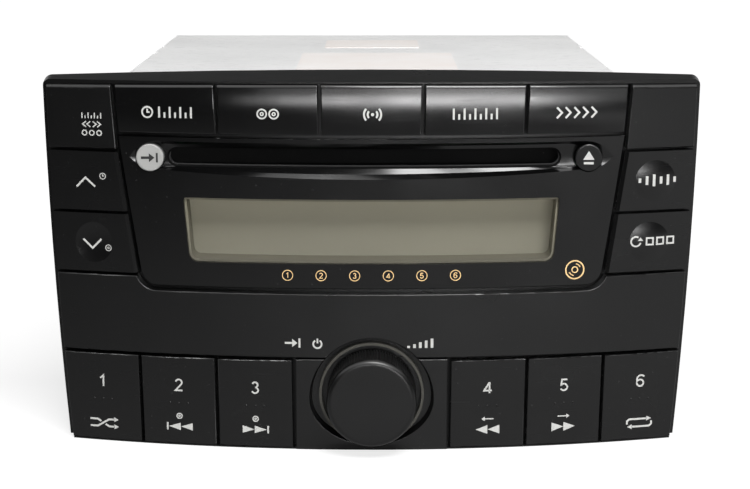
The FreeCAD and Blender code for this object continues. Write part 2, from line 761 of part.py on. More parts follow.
def make_side_key(side, row, tile, layer):
    """side is -1 on the left, where the key is dished, and +1 on the right, where it is domed."""
    low, high = side_key_rows()[row]
    outer = TILE_HALF_HIGH + SIDE_REACH
    points = [(side * outer, low), (side * outer, high),
              (side * column_half(high), high), (side * column_half(low), low)]
    cap = prism(corners_face(points)).common(tile).common(layer)
    x, z = side_key_centre(row)
    inner = []
    for edge in layer_edges(cap):
        a, b = [vertex.Point for vertex in edge.Vertexes]
        if abs(a.z - b.z) > SIDE_KEY_HEIGHT / 2 and side * (a.x + b.x) / 2 < x:
            inner.append(edge)
    cap = cap.makeChamfer(SIDE_KEY_BEVEL, SIDE_KEY_BEVEL, inner)
    angle = math.asin(x / FACE_RADIUS)
    ball_radius = (DIMPLE_RADIUS ** 2 + DIMPLE_DEPTH ** 2) / (2 * DIMPLE_DEPTH)
    shift = ball_radius - DIMPLE_DEPTH
    reach = FACE_RADIUS + (shift if side < 0 else -shift)
    centre = V(side * reach * math.sin(angle), CURVE_Y - reach * math.cos(angle), z)
    ball = Part.makeSphere(ball_radius, centre)
    if side < 0:
        cap = cap.cut(ball)
    else:
        front = shell(-DIMPLE_DEPTH - 1, KEY_THICKNESS / 2)
        cap = cap.fuse(ball.common(front).common(prism(corners_face(points))))
    return joined([cap, stem(side * x, z, KEY_THICKNESS)])


def preset_edge(number, z):
    """x of the seam number pitches from the middle, at height z."""
    share = z / BAND_BOTTOM_Z
    return number * (PRESET_PITCH_LOW + (PRESET_PITCH_HIGH - PRESET_PITCH_LOW) * share)


def preset_centre(index):
    """x of a preset key, counted 0 to 5 from the left."""
    place = index - 3.5 if index < 3 else index - 1.5
    return place * (PRESET_PITCH_LOW + PRESET_PITCH_HIGH) / 2


def make_preset_key(index, tile, layer):
    side = -1 if index < 3 else 1
    near = (2 - index) + 1 if index < 3 else index - 2
    outermost = near == 3
    top = BAND_BOTTOM_Z - SEAM
    foot = PRESET_BOTTOM_Z
    inner = [preset_edge(near, z) + SEAM / 2 for z in (foot, top)]
    outer = [preset_edge(near + 1, z) - SEAM / 2 + (2 * SIDE_REACH if outermost else 0) for z in (foot, top)]
    points = [(side * inner[0], foot), (side * outer[0], foot),
              (side * outer[1], top), (side * inner[1], top)]
    cap = prism(corners_face(points)).common(tile).common(layer)
    cap = rounded(cap, EDGE_ROUND)
    return joined([cap, stem(preset_centre(index), PRESET_STEM_Z, KEY_THICKNESS)])


def make_round_key(x):
    front = surface_y(x, ROUND_KEY_INSET)
    cap = rod_y(x, SLOT_Z, ROUND_KEY_RADIUS, front, front + ROUND_KEY_LENGTH)
    rim = [edge for edge in cap.Edges if abs(edge.BoundBox.YMax - front) < 0.01]
    cap = cap.makeFillet(ROUND_KEY_ROUND, rim)
    return joined([cap, rod_y(x, SLOT_Z, ROUND_STEM_RADIUS, front + ROUND_KEY_LENGTH - MERGE, STEM_END_Y)])


def dish_outline(y, grow):
    """Half a circle above and a flatter half of an ellipse below."""
    wide = DISH_RADIUS + grow
    middle = V(0, y, DISH_Z)
    left = V(-wide, y, DISH_Z)
    right = V(wide, y, DISH_Z)
    upper = Part.Arc(left, V(0, y, DISH_Z + wide), right).toShape()
    oval = Part.Ellipse(right, V(0, y, DISH_Z - DISH_LOW - grow), middle)
    lower = Part.ArcOfEllipse(oval, 0, math.pi).toShape()
    return Part.Wire([upper, lower])


def knob_dish():
    """The hollow round the knob, with a round pocket in its floor for the ring."""
    front = -FACE_DEPTH - 1.0
    slope = DISH_DRAFT / (DISH_FLOOR_Y + FACE_DEPTH)
    hollow = Part.makeLoft([dish_outline(front, slope), dish_outline(DISH_FLOOR_Y, -DISH_DRAFT)], True, True)
    pocket = rod_y(0, KNOB_Z, RING_RADIUS + HAIRLINE, RING_FRONT_Y - MERGE, DISH_FLOOR_Y)
    return hollow.fuse(pocket)


def screw_places():
    return [(side * BOSS_X, z) for side in (-1, 1) for z in (BOSS_LOW_Z, BOSS_MIDDLE_Z, BOSS_HIGH_Z)]


def make_front_bezel(rim, tile):
    deck_back = DECK_INSET + DECK_THICKNESS
    body = rim.common(shell(DECK_INSET, -CUT_FRONT_Y))
    blocks = tile.common(shell(0.0, DECK_INSET + MERGE))
    wide = TILE_HALF_HIGH + SIDE_REACH
    raised = []
    for side in (-1, 1):
        points = [(side * wide, CORNER_BLOCK_Z), (side * wide, tile_top(TILE_HALF_HIGH)),
                  (side * BLOCK_HALF_TOP, tile_top(BLOCK_HALF_TOP)),
                  (side * column_half(CORNER_BLOCK_Z), CORNER_BLOCK_Z)]
        raised.append(soft_tile(prism(corners_face(points)).common(blocks), EDGE_ROUND))
    band = prism(corners_face([(-wide, BAND_BOTTOM_Z), (wide, BAND_BOTTOM_Z),
                               (wide, BAND_TOP_Z), (-wide, BAND_TOP_Z)]))
    band = band.common(blocks).cut(prism(panel_face().makeOffset2D(BAND_GAP)))
    band = band.cut(knob_dish())
    raised.append(rounded(band, EDGE_ROUND))
    half = preset_edge(1, 0) - SEAM / 2
    middle = prism(corners_face([(-half, 0), (half, 0), (half, BAND_BOTTOM_Z - SEAM / 2),
                                 (-half, BAND_BOTTOM_Z - SEAM / 2)]))
    middle = middle.common(blocks).cut(knob_dish())
    raised.append(rounded(middle, EDGE_ROUND))
    foot_lip = box(-wide, wide, CUT_FRONT_Y, CUT_REAR_Y, 0.0, FOOT_LIP_HEIGHT)
    raised.append(foot_lip.common(tile).common(shell(FOOT_LIP_INSET, DECK_INSET + MERGE)))
    lip_points = [(x, tile_top(x) + HAIRLINE) for x in (-wide, -wide / 2, 0, wide / 2, wide)]
    above = ROOF_FRONT_Z + SIDE_REACH
    lip = prism(corners_face(lip_points + [(wide, above), (-wide, above)]))
    lip = lip.common(rim).common(shell(ROOF_LIP_INSET, DECK_INSET + MERGE))
    raised.append(lip)
    body = joined([body] + raised)

    hollow = prism(Part.Face(face_outline(0, -BEZEL_WALL, ROOF_FRONT_Z - BEZEL_WALL, BEZEL_WALL)))
    body = body.cut(hollow.common(shell(deck_back, -CUT_FRONT_Y)))
    posts = [rod_y(x, z, BOSS_RADIUS, surface_y(x, DECK_INSET + MERGE), 0.0) for x, z in screw_places()]
    body = joined([body] + posts)

    cuts = [prism(panel_core_face(HAIRLINE))]
    cuts += [stem_hole(x, z) for x, z in key_places()]
    cuts.append(rod_y(0, KNOB_Z, ENCODER_HOLE_RADIUS, CUT_FRONT_Y, CUT_REAR_Y))
    cuts += [rod_y(x, z, PILOT_RADIUS, -SCREW_DEPTH, CUT_REAR_Y) for x, z in screw_places()]
    return body.cut(cuts)


def key_places():
    """(x, z) of every post that goes through the deck."""
    places = []
    for index in range(TOP_KEY_COUNT):
        low = top_key_span(index, TOP_ROW_HALF_LOW)
        places.append(((low[0] + low[1]) / 2, TOP_KEY_STEM_Z))
    for side in (-1, 1):
        for row in side_key_rows():
            x, z = side_key_centre(row)
            places.append((side * x, z))
    places += [(preset_centre(index), PRESET_STEM_Z) for index in range(6)]
    return places


def panel_core_face(grow=0.0):
    return panel_face().makeOffset2D(grow - PANEL_LEDGE)


def make_display_panel():
    plate = prism(panel_face()).common(shell(PANEL_INSET, PANEL_INSET + PANEL_FLANGE))
    plate = rounded(plate, EDGE_ROUND, PANEL_INSET)
    core = prism(panel_core_face()).common(shell(PANEL_INSET + PANEL_FLANGE - MERGE, PANEL_CORE_BACK))
    ears = []
    for x in flap_ears():
        ears.append(box(x - FLAP_EAR / 2, x + FLAP_EAR / 2, surface_y(x, PANEL_CORE_BACK - 2 * MERGE),
                        FLAP_Y + FLAP_EAR_HALF_HEIGHT, FLAP_Z - FLAP_EAR_HALF_HEIGHT,
                        FLAP_Z + FLAP_EAR_HALF_HEIGHT))
    body = joined([plate, core] + ears)
    cuts = [scoop_cut(), prism(window_face())]
    cuts += [rod_y(x, SLOT_Z, ROUND_KEY_RADIUS + HAIRLINE, CUT_FRONT_Y, 0) for x in (LOAD_KEY_X, EJECT_KEY_X)]
    pin_hole = FLAP_PIN + BORE_CLEARANCE
    cuts += [rod_x(FLAP_Y, FLAP_Z, pin_hole, x - FLAP_EAR, x + FLAP_EAR) for x in flap_ears()]
    return body.cut(cuts)


def flap_ears():
    """x of the two ears that hold the slot shutter's pins."""
    out = FLAP_EAR / 2 + FLAP_EAR_GAP
    return (SLOT_LEFT - out, SLOT_RIGHT + out)


def make_slot_shutter():
    left, right = flap_ears()
    x0 = left + FLAP_EAR / 2 + HAIRLINE
    x1 = right - FLAP_EAR / 2 - HAIRLINE
    flap = box(x0, x1, FLAP_Y - FLAP_THICKNESS / 2, FLAP_Y + FLAP_THICKNESS / 2, FLAP_FOOT_Z, FLAP_Z)
    pin = rod_x(FLAP_Y, FLAP_Z, FLAP_PIN, left - FLAP_EAR / 2 + HAIRLINE, right + FLAP_EAR / 2 - HAIRLINE)
    return joined([flap, pin])


def make_slot_felt():
    outer = stadium_face(SLOT_LEFT, SLOT_RIGHT, SLOT_Z, SLOT_HEIGHT, -0.02)
    inner = stadium_face(SLOT_LEFT, SLOT_RIGHT, SLOT_Z, SLOT_HEIGHT, -FELT_THICKNESS)
    sleeve = prism(outer).cut(prism(inner))
    return sleeve.common(shell(PANEL_INSET + SCOOP_DEPTH + 1.0, PANEL_CORE_BACK - 0.3))


def make_display_window():
    lens = prism(window_face(-SEAT_GAP)).common(shell(PANEL_INSET, PANEL_INSET + LENS_THICKNESS))
    return lens


def make_display_frame():
    """The walls of the well between the lens and the filter."""
    front = PANEL_INSET + LENS_THICKNESS
    walls = prism(window_face(-SEAT_GAP)).cut(prism(window_face(-WELL_WALL)))
    return walls.common(shell(front, front + WELL_DEPTH))


def make_display_filter():
    front = PANEL_INSET + LENS_THICKNESS + WELL_DEPTH
    return prism(window_face(-SEAT_GAP)).common(shell(front, front + FILTER_THICKNESS))


def make_volume_knob():
    r = KNOB_RADIUS
    face = KNOB_FRONT_Y
    loop = [V(0, face, 0), V(r - KNOB_BEVEL, face, 0), V(r, face + KNOB_BEVEL, 0), V(r, KNOB_BACK_Y, 0),
            V(r - KNOB_WALL, KNOB_BACK_Y, 0), V(r - KNOB_WALL, face + KNOB_CROWN, 0),
            V(KNOB_HUB_RADIUS, face + KNOB_CROWN, 0), V(KNOB_HUB_RADIUS, KNOB_BACK_Y - 1.0, 0),
            V(SHAFT_RADIUS + BORE_CLEARANCE, KNOB_BACK_Y - 1.0, 0),
            V(SHAFT_RADIUS + BORE_CLEARANCE, SHAFT_FRONT_Y - KNOB_TRAVEL - HAIRLINE, 0),
            V(0, SHAFT_FRONT_Y - KNOB_TRAVEL - HAIRLINE, 0)]
    knob = Part.Face(Part.makePolygon(loop + loop[:1])).revolve(V(0, 0, 0), V(0, 1, 0), 360)
    knob.translate(V(0, 0, KNOB_Z))
    return knob


def make_knob_ring():
    tube = rod_y(0, KNOB_Z, RING_RADIUS, RING_FRONT_Y, DISH_FLOOR_Y)
    return tube.cut(rod_y(0, KNOB_Z, RING_RADIUS - RING_WIDTH, RING_FRONT_Y - 1, DISH_FLOOR_Y + 1))


def make_encoder():
    half = ENCODER_SIZE / 2
    body = box(-half, half, ENCODER_FRONT_Y, BOARD_FRONT_Y, KNOB_Z - half, KNOB_Z + half)
    neck = rod_y(0, KNOB_Z, SHAFT_RADIUS + 1.5, BUSH_FRONT_Y, ENCODER_FRONT_Y)
    bore = rod_y(0, KNOB_Z, SHAFT_RADIUS + BORE_CLEARANCE, BUSH_FRONT_Y - 1, SHAFT_BACK_Y + HAIRLINE)
    return joined([body, neck]).cut(bore)


def make_encoder_shaft():
    return rod_y(0, KNOB_Z, SHAFT_RADIUS, SHAFT_FRONT_Y, SHAFT_BACK_Y)


def make_front_board():
    board = box(-BOARD_HALF, BOARD_HALF, BOARD_FRONT_Y, BOARD_FRONT_Y + BOARD_THICKNESS,
                BOARD_LOW_Z, BOARD_HIGH_Z)
    hole = BOSS_RADIUS + BOARD_HOLE_GAP
    cuts = [rod_y(x, z, hole, CUT_FRONT_Y, CUT_REAR_Y) for x, z in screw_places()]
    left, right = flap_ears()
    cuts.append(box(left + FLAP_EAR / 2, right - FLAP_EAR / 2, CUT_FRONT_Y, CUT_REAR_Y,
                    FLAP_FOOT_Z - FLAP_SWING_LOW, FLAP_Z + FLAP_SWING_HIGH))
    return board.cut(cuts)


def make_tact_switches():
    half = SWITCH_SIZE / 2
    places = key_places() + [(LOAD_KEY_X, SLOT_Z), (EJECT_KEY_X, SLOT_Z)]
    return group([box(x - half, x + half, BOARD_FRONT_Y - SWITCH_HEIGHT, BOARD_FRONT_Y, z - half, z + half)
                  for x, z in places])


def make_lcd_glass():
    half = WINDOW_HALF_TOP + LCD_SIDE_MARGIN
    return box(-half, half, BOARD_FRONT_Y - LCD_THICKNESS, BOARD_FRONT_Y,
               WINDOW_BOTTOM_Z - LCD_EDGE_MARGIN, WINDOW_TOP_Z + LCD_EDGE_MARGIN)


def make_back_cover():
    inset = BACK_COVER_INSET
    outline = Part.Face(face_outline(0, RIM_FLARE - inset, ROOF_FRONT_Z + ROOF_RISE - inset, inset))
    plate = prism(outline, 0.0, BACK_COVER_THICKNESS)
    corners = [edge for edge in plate.Edges
               if edge.BoundBox.YLength > BACK_COVER_THICKNESS / 2 and edge.BoundBox.ZMin > MID_Z]
    plate = plate.makeFillet(RIM_CORNER, corners)
    cuts = [box(-OPENING_HALF, OPENING_HALF, CUT_FRONT_Y, CUT_REAR_Y, OPENING_LOW_Z, OPENING_HIGH_Z)]
    cuts += [rod_y(x, z, SCREW_RADIUS + HOLE_GAP, CUT_FRONT_Y, CUT_REAR_Y) for x, z in screw_places()]
    tabs = []
    for side, y, z in tab_fixings():
        x0, x1 = span(side, TUB_HALF + FOLD_GAP, SIDE_TAB_OUTER_X)
        tabs.append(box(x0, x1, 0.0, BACK_COVER_THICKNESS + SIDE_TAB_LENGTH,
                        z - SIDE_TAB_HALF, z + SIDE_TAB_HALF))
        cuts.append(rod_x(y, z, SCREW_RADIUS + HOLE_GAP, x0 - 1, x1 + 1))
    return joined([plate] + tabs).cut(cuts)


def screw(point, direction, length, radius=SCREW_RADIUS, head=SCREW_HEAD_RADIUS):
    """A pan-head screw whose head sits on point and whose shank goes along direction."""
    d = V(*direction)
    shank = Part.makeCylinder(radius, length, point, d)
    cap = Part.makeCylinder(head, SCREW_HEAD_HEIGHT, point, d.negative())
    top = [edge for edge in cap.Edges
           if edge.isClosed() and (edge.CenterOfMass - point).dot(d.negative()) > SCREW_HEAD_HEIGHT - 0.1]
    cap = cap.makeFillet(SCREW_HEAD_HEIGHT / 2, top)
    recess = Part.makeCylinder(head * 0.4, SCREW_HEAD_HEIGHT, point + d.negative() * (SCREW_HEAD_HEIGHT / 2),
                               d.negative())
    return joined([shank, cap]).cut(recess)


def make_face_screws():
    """Six screws through the back cover into the moulding's posts."""
    return group([screw(V(x, BACK_COVER_THICKNESS, z), (0, -1, 0), SCREW_DEPTH, PILOT_RADIUS - BORE_GAP)
                  for x, z in screw_places()])


def span(side, near, far):
    """Two x values at near and far from the middle, on one side, lowest first."""
    return sorted((side * near, side * far))


def deck_posts():
    return [(side * DECK_POST_X, y) for side in (-1, 1)
            for y in (DECK_FRONT_Y + DECK_POST_INSET, DECK_REAR_Y - DECK_POST_INSET)]


def board_fixings():
    return [(side * (MAIN_BOARD_HALF - STANDOFF_INSET), y) for side in (-1, 1)
            for y in (MAIN_BOARD_FRONT_Y + STANDOFF_INSET, MAIN_BOARD_REAR_Y - STANDOFF_INSET)]


def rear_fixings():
    return [(side * REAR_SCREW_X, z) for side in (-1, 1) for z in (REAR_SCREW_LOW_Z, REAR_SCREW_HIGH_Z)]


def sink_fixings():
    z = (SINK_LOW_Z + SINK_HIGH_Z) / 2
    return [(SINK_LEFT + SINK_SCREW_INSET, z), (SINK_RIGHT - SINK_SCREW_INSET, z)]


def skirt_fixings():
    return [(side, y, CHASSIS_TOP_Z - SKIRT_SCREW_DROP) for side in (-1, 1) for y in SKIRT_SCREWS_Y]


def tab_fixings():
    """Screws that hold the back cover's four tabs to the steel box's sides."""
    return [(side, SIDE_TAB_SCREW_Y, z) for side in (-1, 1) for z in SIDE_TAB_Z]


def side_fixings():
    """Centres of the four threaded holes on each side."""
    return [(y, z) for y in (SIDE_HOLE_Y - SIDE_HOLE_PITCH_Y / 2, SIDE_HOLE_Y + SIDE_HOLE_PITCH_Y / 2)
            for z in (SIDE_HOLE_Z - SIDE_HOLE_PITCH_Z / 2, SIDE_HOLE_Z + SIDE_HOLE_PITCH_Z / 2)]


def make_chassis_tub():
    """Floor, side walls and front frame of the steel box, with what is folded or welded on."""
    y0 = BACK_COVER_THICKNESS
    outer = box(-TUB_HALF, TUB_HALF, y0, TUB_REAR_Y, CHASSIS_FLOOR_Z, TUB_TOP_Z)
    inner = box(-TUB_INSIDE_HALF, TUB_INSIDE_HALF, y0 + SHEET, TUB_REAR_Y + 1, TUB_INSIDE_Z, TUB_TOP_Z + 1)
    front = box(-OPENING_HALF, OPENING_HALF, y0 - 1, y0 + SHEET + 1, OPENING_LOW_Z, OPENING_HIGH_Z)
    shell_of = outer.cut([inner, front])
    added = []
    for side in (-1, 1):
        x0, x1 = span(side, TUB_INSIDE_HALF - REAR_TAB, TUB_INSIDE_HALF)
        for z in (REAR_SCREW_LOW_Z, REAR_SCREW_HIGH_Z):
            added.append(box(x0, x1, TUB_REAR_Y - SHEET, TUB_REAR_Y, z - REAR_TAB / 2, z + REAR_TAB / 2))
        x0, x1 = span(side, TUB_INSIDE_HALF - WELD_NUT_LENGTH, TUB_INSIDE_HALF)
        added += [rod_x(y, z, WELD_NUT_RADIUS, x0, x1) for y, z in side_fixings()]
    added += [rod_z(x, y, STANDOFF_RADIUS, TUB_INSIDE_Z, BOARD_Z) for x, y in board_fixings()]
    added += [rod_z(x, y, DECK_POST_RADIUS, TUB_INSIDE_Z, DECK_Z) for x, y in deck_posts()]
    body = joined([shell_of] + added)

    thread = SCREW_RADIUS + BORE_GAP
    cuts = []
    for side in (-1, 1):
        x0, x1 = span(side, TUB_INSIDE_HALF - WELD_NUT_LENGTH - 1, TUB_HALF + 1)
        cuts += [rod_x(y, z, SIDE_HOLE_RADIUS, x0, x1) for y, z in side_fixings()]
    for side, y, z in skirt_fixings() + tab_fixings():
        x0, x1 = span(side, TUB_INSIDE_HALF - 1, TUB_HALF + 1)
        cuts.append(rod_x(y, z, thread, x0, x1))
    cuts += [rod_y(x, z, thread, TUB_REAR_Y - SHEET - 1, TUB_REAR_Y + 1) for x, z in rear_fixings()]
    depth = SCREW_LENGTH - BOARD_THICKNESS + HAIRLINE
    cuts += [rod_z(x, y, thread, max(BOARD_Z - depth, TUB_INSIDE_Z), BOARD_Z + 1) for x, y in board_fixings()]
    cuts += [rod_z(x, y, thread, DECK_Z - SCREW_LENGTH, DECK_Z + 1) for x, y in deck_posts()]
    return body.cut(cuts)


def make_top_cover():
    y0 = BACK_COVER_THICKNESS + SHEET + FOLD_GAP
    low = CHASSIS_TOP_Z - COVER_SKIRT
    outer = box(-CHASSIS_HALF, CHASSIS_HALF, y0, CHASSIS_REAR_Y, low, CHASSIS_TOP_Z)
    folds = [edge for edge in outer.Edges
             if edge.BoundBox.ZMin > CHASSIS_TOP_Z - 0.1 and edge.BoundBox.YMax > y0 + 1]
    outer = outer.makeFillet(FOLD_RADIUS, folds)
    inner = box(-CHASSIS_HALF + SHEET, CHASSIS_HALF - SHEET, y0 - 1, CHASSIS_REAR_Y - SHEET,
                low - 1, CHASSIS_TOP_Z - SHEET)
    below_lip = box(-CHASSIS_HALF - 1, CHASSIS_HALF + 1, CHASSIS_REAR_Y - SHEET, CHASSIS_REAR_Y + 1,
                    low - 1, CHASSIS_TOP_Z - COVER_REAR_LIP)
    cuts = [inner, below_lip]
    notches = [(-1, y) for y in LEFT_NOTCHES_Y] + [(1, RIGHT_NOTCH_Y)]
    for side, y in notches:
        x0, x1 = span(side, CHASSIS_HALF - NOTCH_DEPTH, CHASSIS_HALF + 1)
        cuts.append(box(x0, x1, y - NOTCH_WIDTH / 2, y + NOTCH_WIDTH / 2,
                        CHASSIS_TOP_Z - NOTCH_DEPTH, CHASSIS_TOP_Z + 1))
    for side, y, z in skirt_fixings():
        x0, x1 = span(side, CHASSIS_HALF - SHEET - 1, CHASSIS_HALF + 1)
        cuts.append(rod_x(y, z, SCREW_RADIUS + HOLE_GAP, x0, x1))
    return outer.cut(cuts)


def make_cover_labels():
    labels = []
    for x, y, width, depth in ((0.0, SMALL_LABEL_Y, SMALL_LABEL_WIDTH, SMALL_LABEL_DEPTH),
                               (LARGE_LABEL_X, LARGE_LABEL_Y, LARGE_LABEL_WIDTH, LARGE_LABEL_DEPTH)):
        sheet = box(x - width / 2, x + width / 2, y - depth / 2, y + depth / 2,
                    CHASSIS_TOP_Z, CHASSIS_TOP_Z + LABEL_THICKNESS)
        corners = [edge for edge in sheet.Edges if edge.BoundBox.ZLength > LABEL_THICKNESS / 2]
        labels.append(sheet.makeFillet(LABEL_CORNER, corners))
    return group(labels)


def socket_outline(x, width, height, grow=0.0):
    """Lowest and highest x and z of a socket that stands on the main board."""
    z0 = BOARD_TOP_Z
    return x - width / 2 - grow, x + width / 2 + grow, z0 - grow, z0 + height + grow


def sink_pad(grow=0.0):
    """The block that reaches through the rear panel from the heat sink to the amplifier chip."""
    return box(AMP_X - AMP_HALF - grow, AMP_X + AMP_HALF + grow, AMP_REAR_Y, REAR_FACE_Y,
               AMP_LOW_Z + SINK_PAD_RISE - grow, AMP_LOW_Z + AMP_HEIGHT + grow)


def make_rear_panel():
    y0, y1 = TUB_REAR_Y, REAR_FACE_Y
    plate = box(-TUB_HALF, TUB_HALF, y0, y1, CHASSIS_FLOOR_Z, TUB_TOP_Z)
    cuts = [sink_pad(HAIRLINE)]
    for x, width, height in ((MAIN_SOCKET_X, MAIN_SOCKET_WIDTH, MAIN_SOCKET_HEIGHT),
                             (AUX_SOCKET_X, AUX_SOCKET_WIDTH, AUX_SOCKET_HEIGHT)):
        x0, x1, z0, z1 = socket_outline(x, width, height, HAIRLINE)
        cuts.append(box(x0, x1, y0 - 1, y1 + 1, z0, z1))
    cuts.append(rod_y(AERIAL_X, AERIAL_Z, AERIAL_RADIUS + HAIRLINE, y0 - 1, y1 + 1))
    cuts.append(rod_y(STUD_X, STUD_Z, RIVET_RADIUS + BORE_GAP, y0 - 1, y1 + 1))
    cuts += [rod_y(x, z, SCREW_RADIUS + HOLE_GAP, y0 - 1, y1 + 1) for x, z in rear_fixings()]
    cuts += [rod_y(x, z, SCREW_RADIUS + BORE_GAP, y0 - 1, y1 + 1) for x, z in sink_fixings()]
    return plate.cut(cuts)


def make_heat_sink():
    y0 = REAR_FACE_Y
    y1 = y0 + SINK_BASE
    base = box(SINK_LEFT, SINK_RIGHT, y0, y1, SINK_LOW_Z, SINK_HIGH_Z)
    first = SINK_LEFT + SINK_MARGIN
    pitch = (SINK_RIGHT - SINK_MARGIN - SINK_FIN - first) / (SINK_FIN_COUNT - 1)
    fins = [box(first + i * pitch, first + i * pitch + SINK_FIN, y1 - MERGE, y1 + SINK_FIN_DEPTH,
                SINK_LOW_Z, SINK_HIGH_Z) for i in range(SINK_FIN_COUNT)]
    pad = sink_pad().common(box(-200, 200, -10, REAR_FACE_Y, 0, 200))
    foot = box(AMP_X - AMP_HALF, AMP_X + AMP_HALF, y0, y1, AMP_LOW_Z + SINK_PAD_RISE, SINK_LOW_Z + MERGE)
    cuts = [rod_y(x, z, SCREW_RADIUS + HOLE_GAP, y0 - 1, y1 + 1) for x, z in sink_fixings()]
    return joined([base, pad, foot] + fins).cut(cuts)


def make_socket(x, width, height, columns):
    """An open shroud with two rows of pins, standing on the main board's rear edge."""
    x0, x1, z0, z1 = socket_outline(x, width, height)
    w = SOCKET_WALL
    floor_y = SOCKET_FRONT_Y + SOCKET_WALL * 2
    body = box(x0, x1, SOCKET_FRONT_Y, SOCKET_REAR_Y, z0, z1)
    body = body.cut(box(x0 + w, x1 - w, floor_y, SOCKET_REAR_Y + 1, z0 + w, z1 - w))
    pins = []
    pitch = (width - 2 * w) / columns
    for row in (0.25, 0.75):
        z = z0 + w + (height - 2 * w) * row
        for column in range(columns):
            pin_x = x0 + w + pitch * (column + 0.5)
            pins.append(box(pin_x - PIN_WIDTH / 2, pin_x + PIN_WIDTH / 2, floor_y - MERGE,
                            SOCKET_REAR_Y - PIN_SHORT, z - PIN_WIDTH / 2, z + PIN_WIDTH / 2))
    return joined([body] + pins)


def make_antenna_socket():
    barrel = rod_y(AERIAL_X, AERIAL_Z, AERIAL_RADIUS, SOCKET_FRONT_Y, AERIAL_REAR_Y)
    half = AERIAL_FLANGE / 2
    flange = box(AERIAL_X - half, AERIAL_X + half, TUB_REAR_Y - SOCKET_WALL, TUB_REAR_Y,
                 AERIAL_Z - half, AERIAL_Z + half)
    leg = box(AERIAL_X - half / 2, AERIAL_X + half / 2, SOCKET_FRONT_Y, MAIN_BOARD_REAR_Y,
              BOARD_TOP_Z, AERIAL_Z)
    bore = rod_y(AERIAL_X, AERIAL_Z, AERIAL_BORE_RADIUS, AERIAL_REAR_Y - AERIAL_BORE_DEPTH, AERIAL_REAR_Y + 1)
    return joined([barrel, flange, leg]).cut(bore)


def make_locating_stud():
    collar_y = REAR_FACE_Y + STUD_COLLAR_LENGTH
    stud = rod_y(STUD_X, STUD_Z, STUD_RADIUS, collar_y, STUD_TIP_Y)
    tip = [edge for edge in stud.Edges if edge.BoundBox.YMin > STUD_TIP_Y - 0.01]
    stud = stud.makeChamfer(STUD_RADIUS / 5, tip)
    collar = rod_y(STUD_X, STUD_Z, STUD_COLLAR_RADIUS, REAR_FACE_Y, collar_y)
    rivet = rod_y(STUD_X, STUD_Z, RIVET_RADIUS, TUB_REAR_Y - SHEET, REAR_FACE_Y)
    head = rod_y(STUD_X, STUD_Z, RIVET_RADIUS * 1.6, TUB_REAR_Y - 2 * SHEET, TUB_REAR_Y)
    return joined([stud, collar, rivet, head])


def make_main_board():
    board = box(-MAIN_BOARD_HALF, MAIN_BOARD_HALF, MAIN_BOARD_FRONT_Y, MAIN_BOARD_REAR_Y,
                BOARD_Z, BOARD_TOP_Z)
    cuts = [rod_z(x, y, SCREW_RADIUS + HOLE_GAP, BOARD_Z - 1, BOARD_TOP_Z + 1) for x, y in board_fixings()]
    return board.cut(cuts)


def make_board_components():
    """Capacitors behind, chips in front and two coils, all standing on the main board."""
    pieces = []
    for i in range(4):
        pieces.append(rod_z(AMP_X + (i - 1.5) * CAPACITOR_PITCH, CAPACITOR_Y, CAPACITOR_RADIUS,
                            BOARD_TOP_Z, BOARD_TOP_Z + CAPACITOR_HEIGHT))
    for i in range(3):
        x = (i - 1) * CHIP_PITCH
        pieces.append(box(x - CHIP_HALF, x + CHIP_HALF, CHIP_Y - CHIP_HALF, CHIP_Y + CHIP_HALF,
                          BOARD_TOP_Z, BOARD_TOP_Z + CHIP_HEIGHT))
    for x in (COIL_X, COIL_X - 3 * COIL_HALF):
        pieces.append(box(x - COIL_HALF, x + COIL_HALF, COIL_Y - COIL_HALF, COIL_Y + COIL_HALF,
                          BOARD_TOP_Z, BOARD_TOP_Z + COIL_HEIGHT))
    return group(pieces)


def make_amplifier_chip():
    y0 = AMP_REAR_Y - AMP_THICKNESS
    body = box(AMP_X - AMP_HALF, AMP_X + AMP_HALF, y0, AMP_REAR_Y, AMP_LOW_Z, AMP_LOW_Z + AMP_HEIGHT)
    legs = []
    for i in range(9):
        x = AMP_X + (i - 4) * AMP_HALF / 5
        legs.append(box(x - PIN_WIDTH / 2, x + PIN_WIDTH / 2, y0, y0 + PIN_WIDTH,
                        BOARD_TOP_Z, AMP_LOW_Z + MERGE))
    return joined([body] + legs)


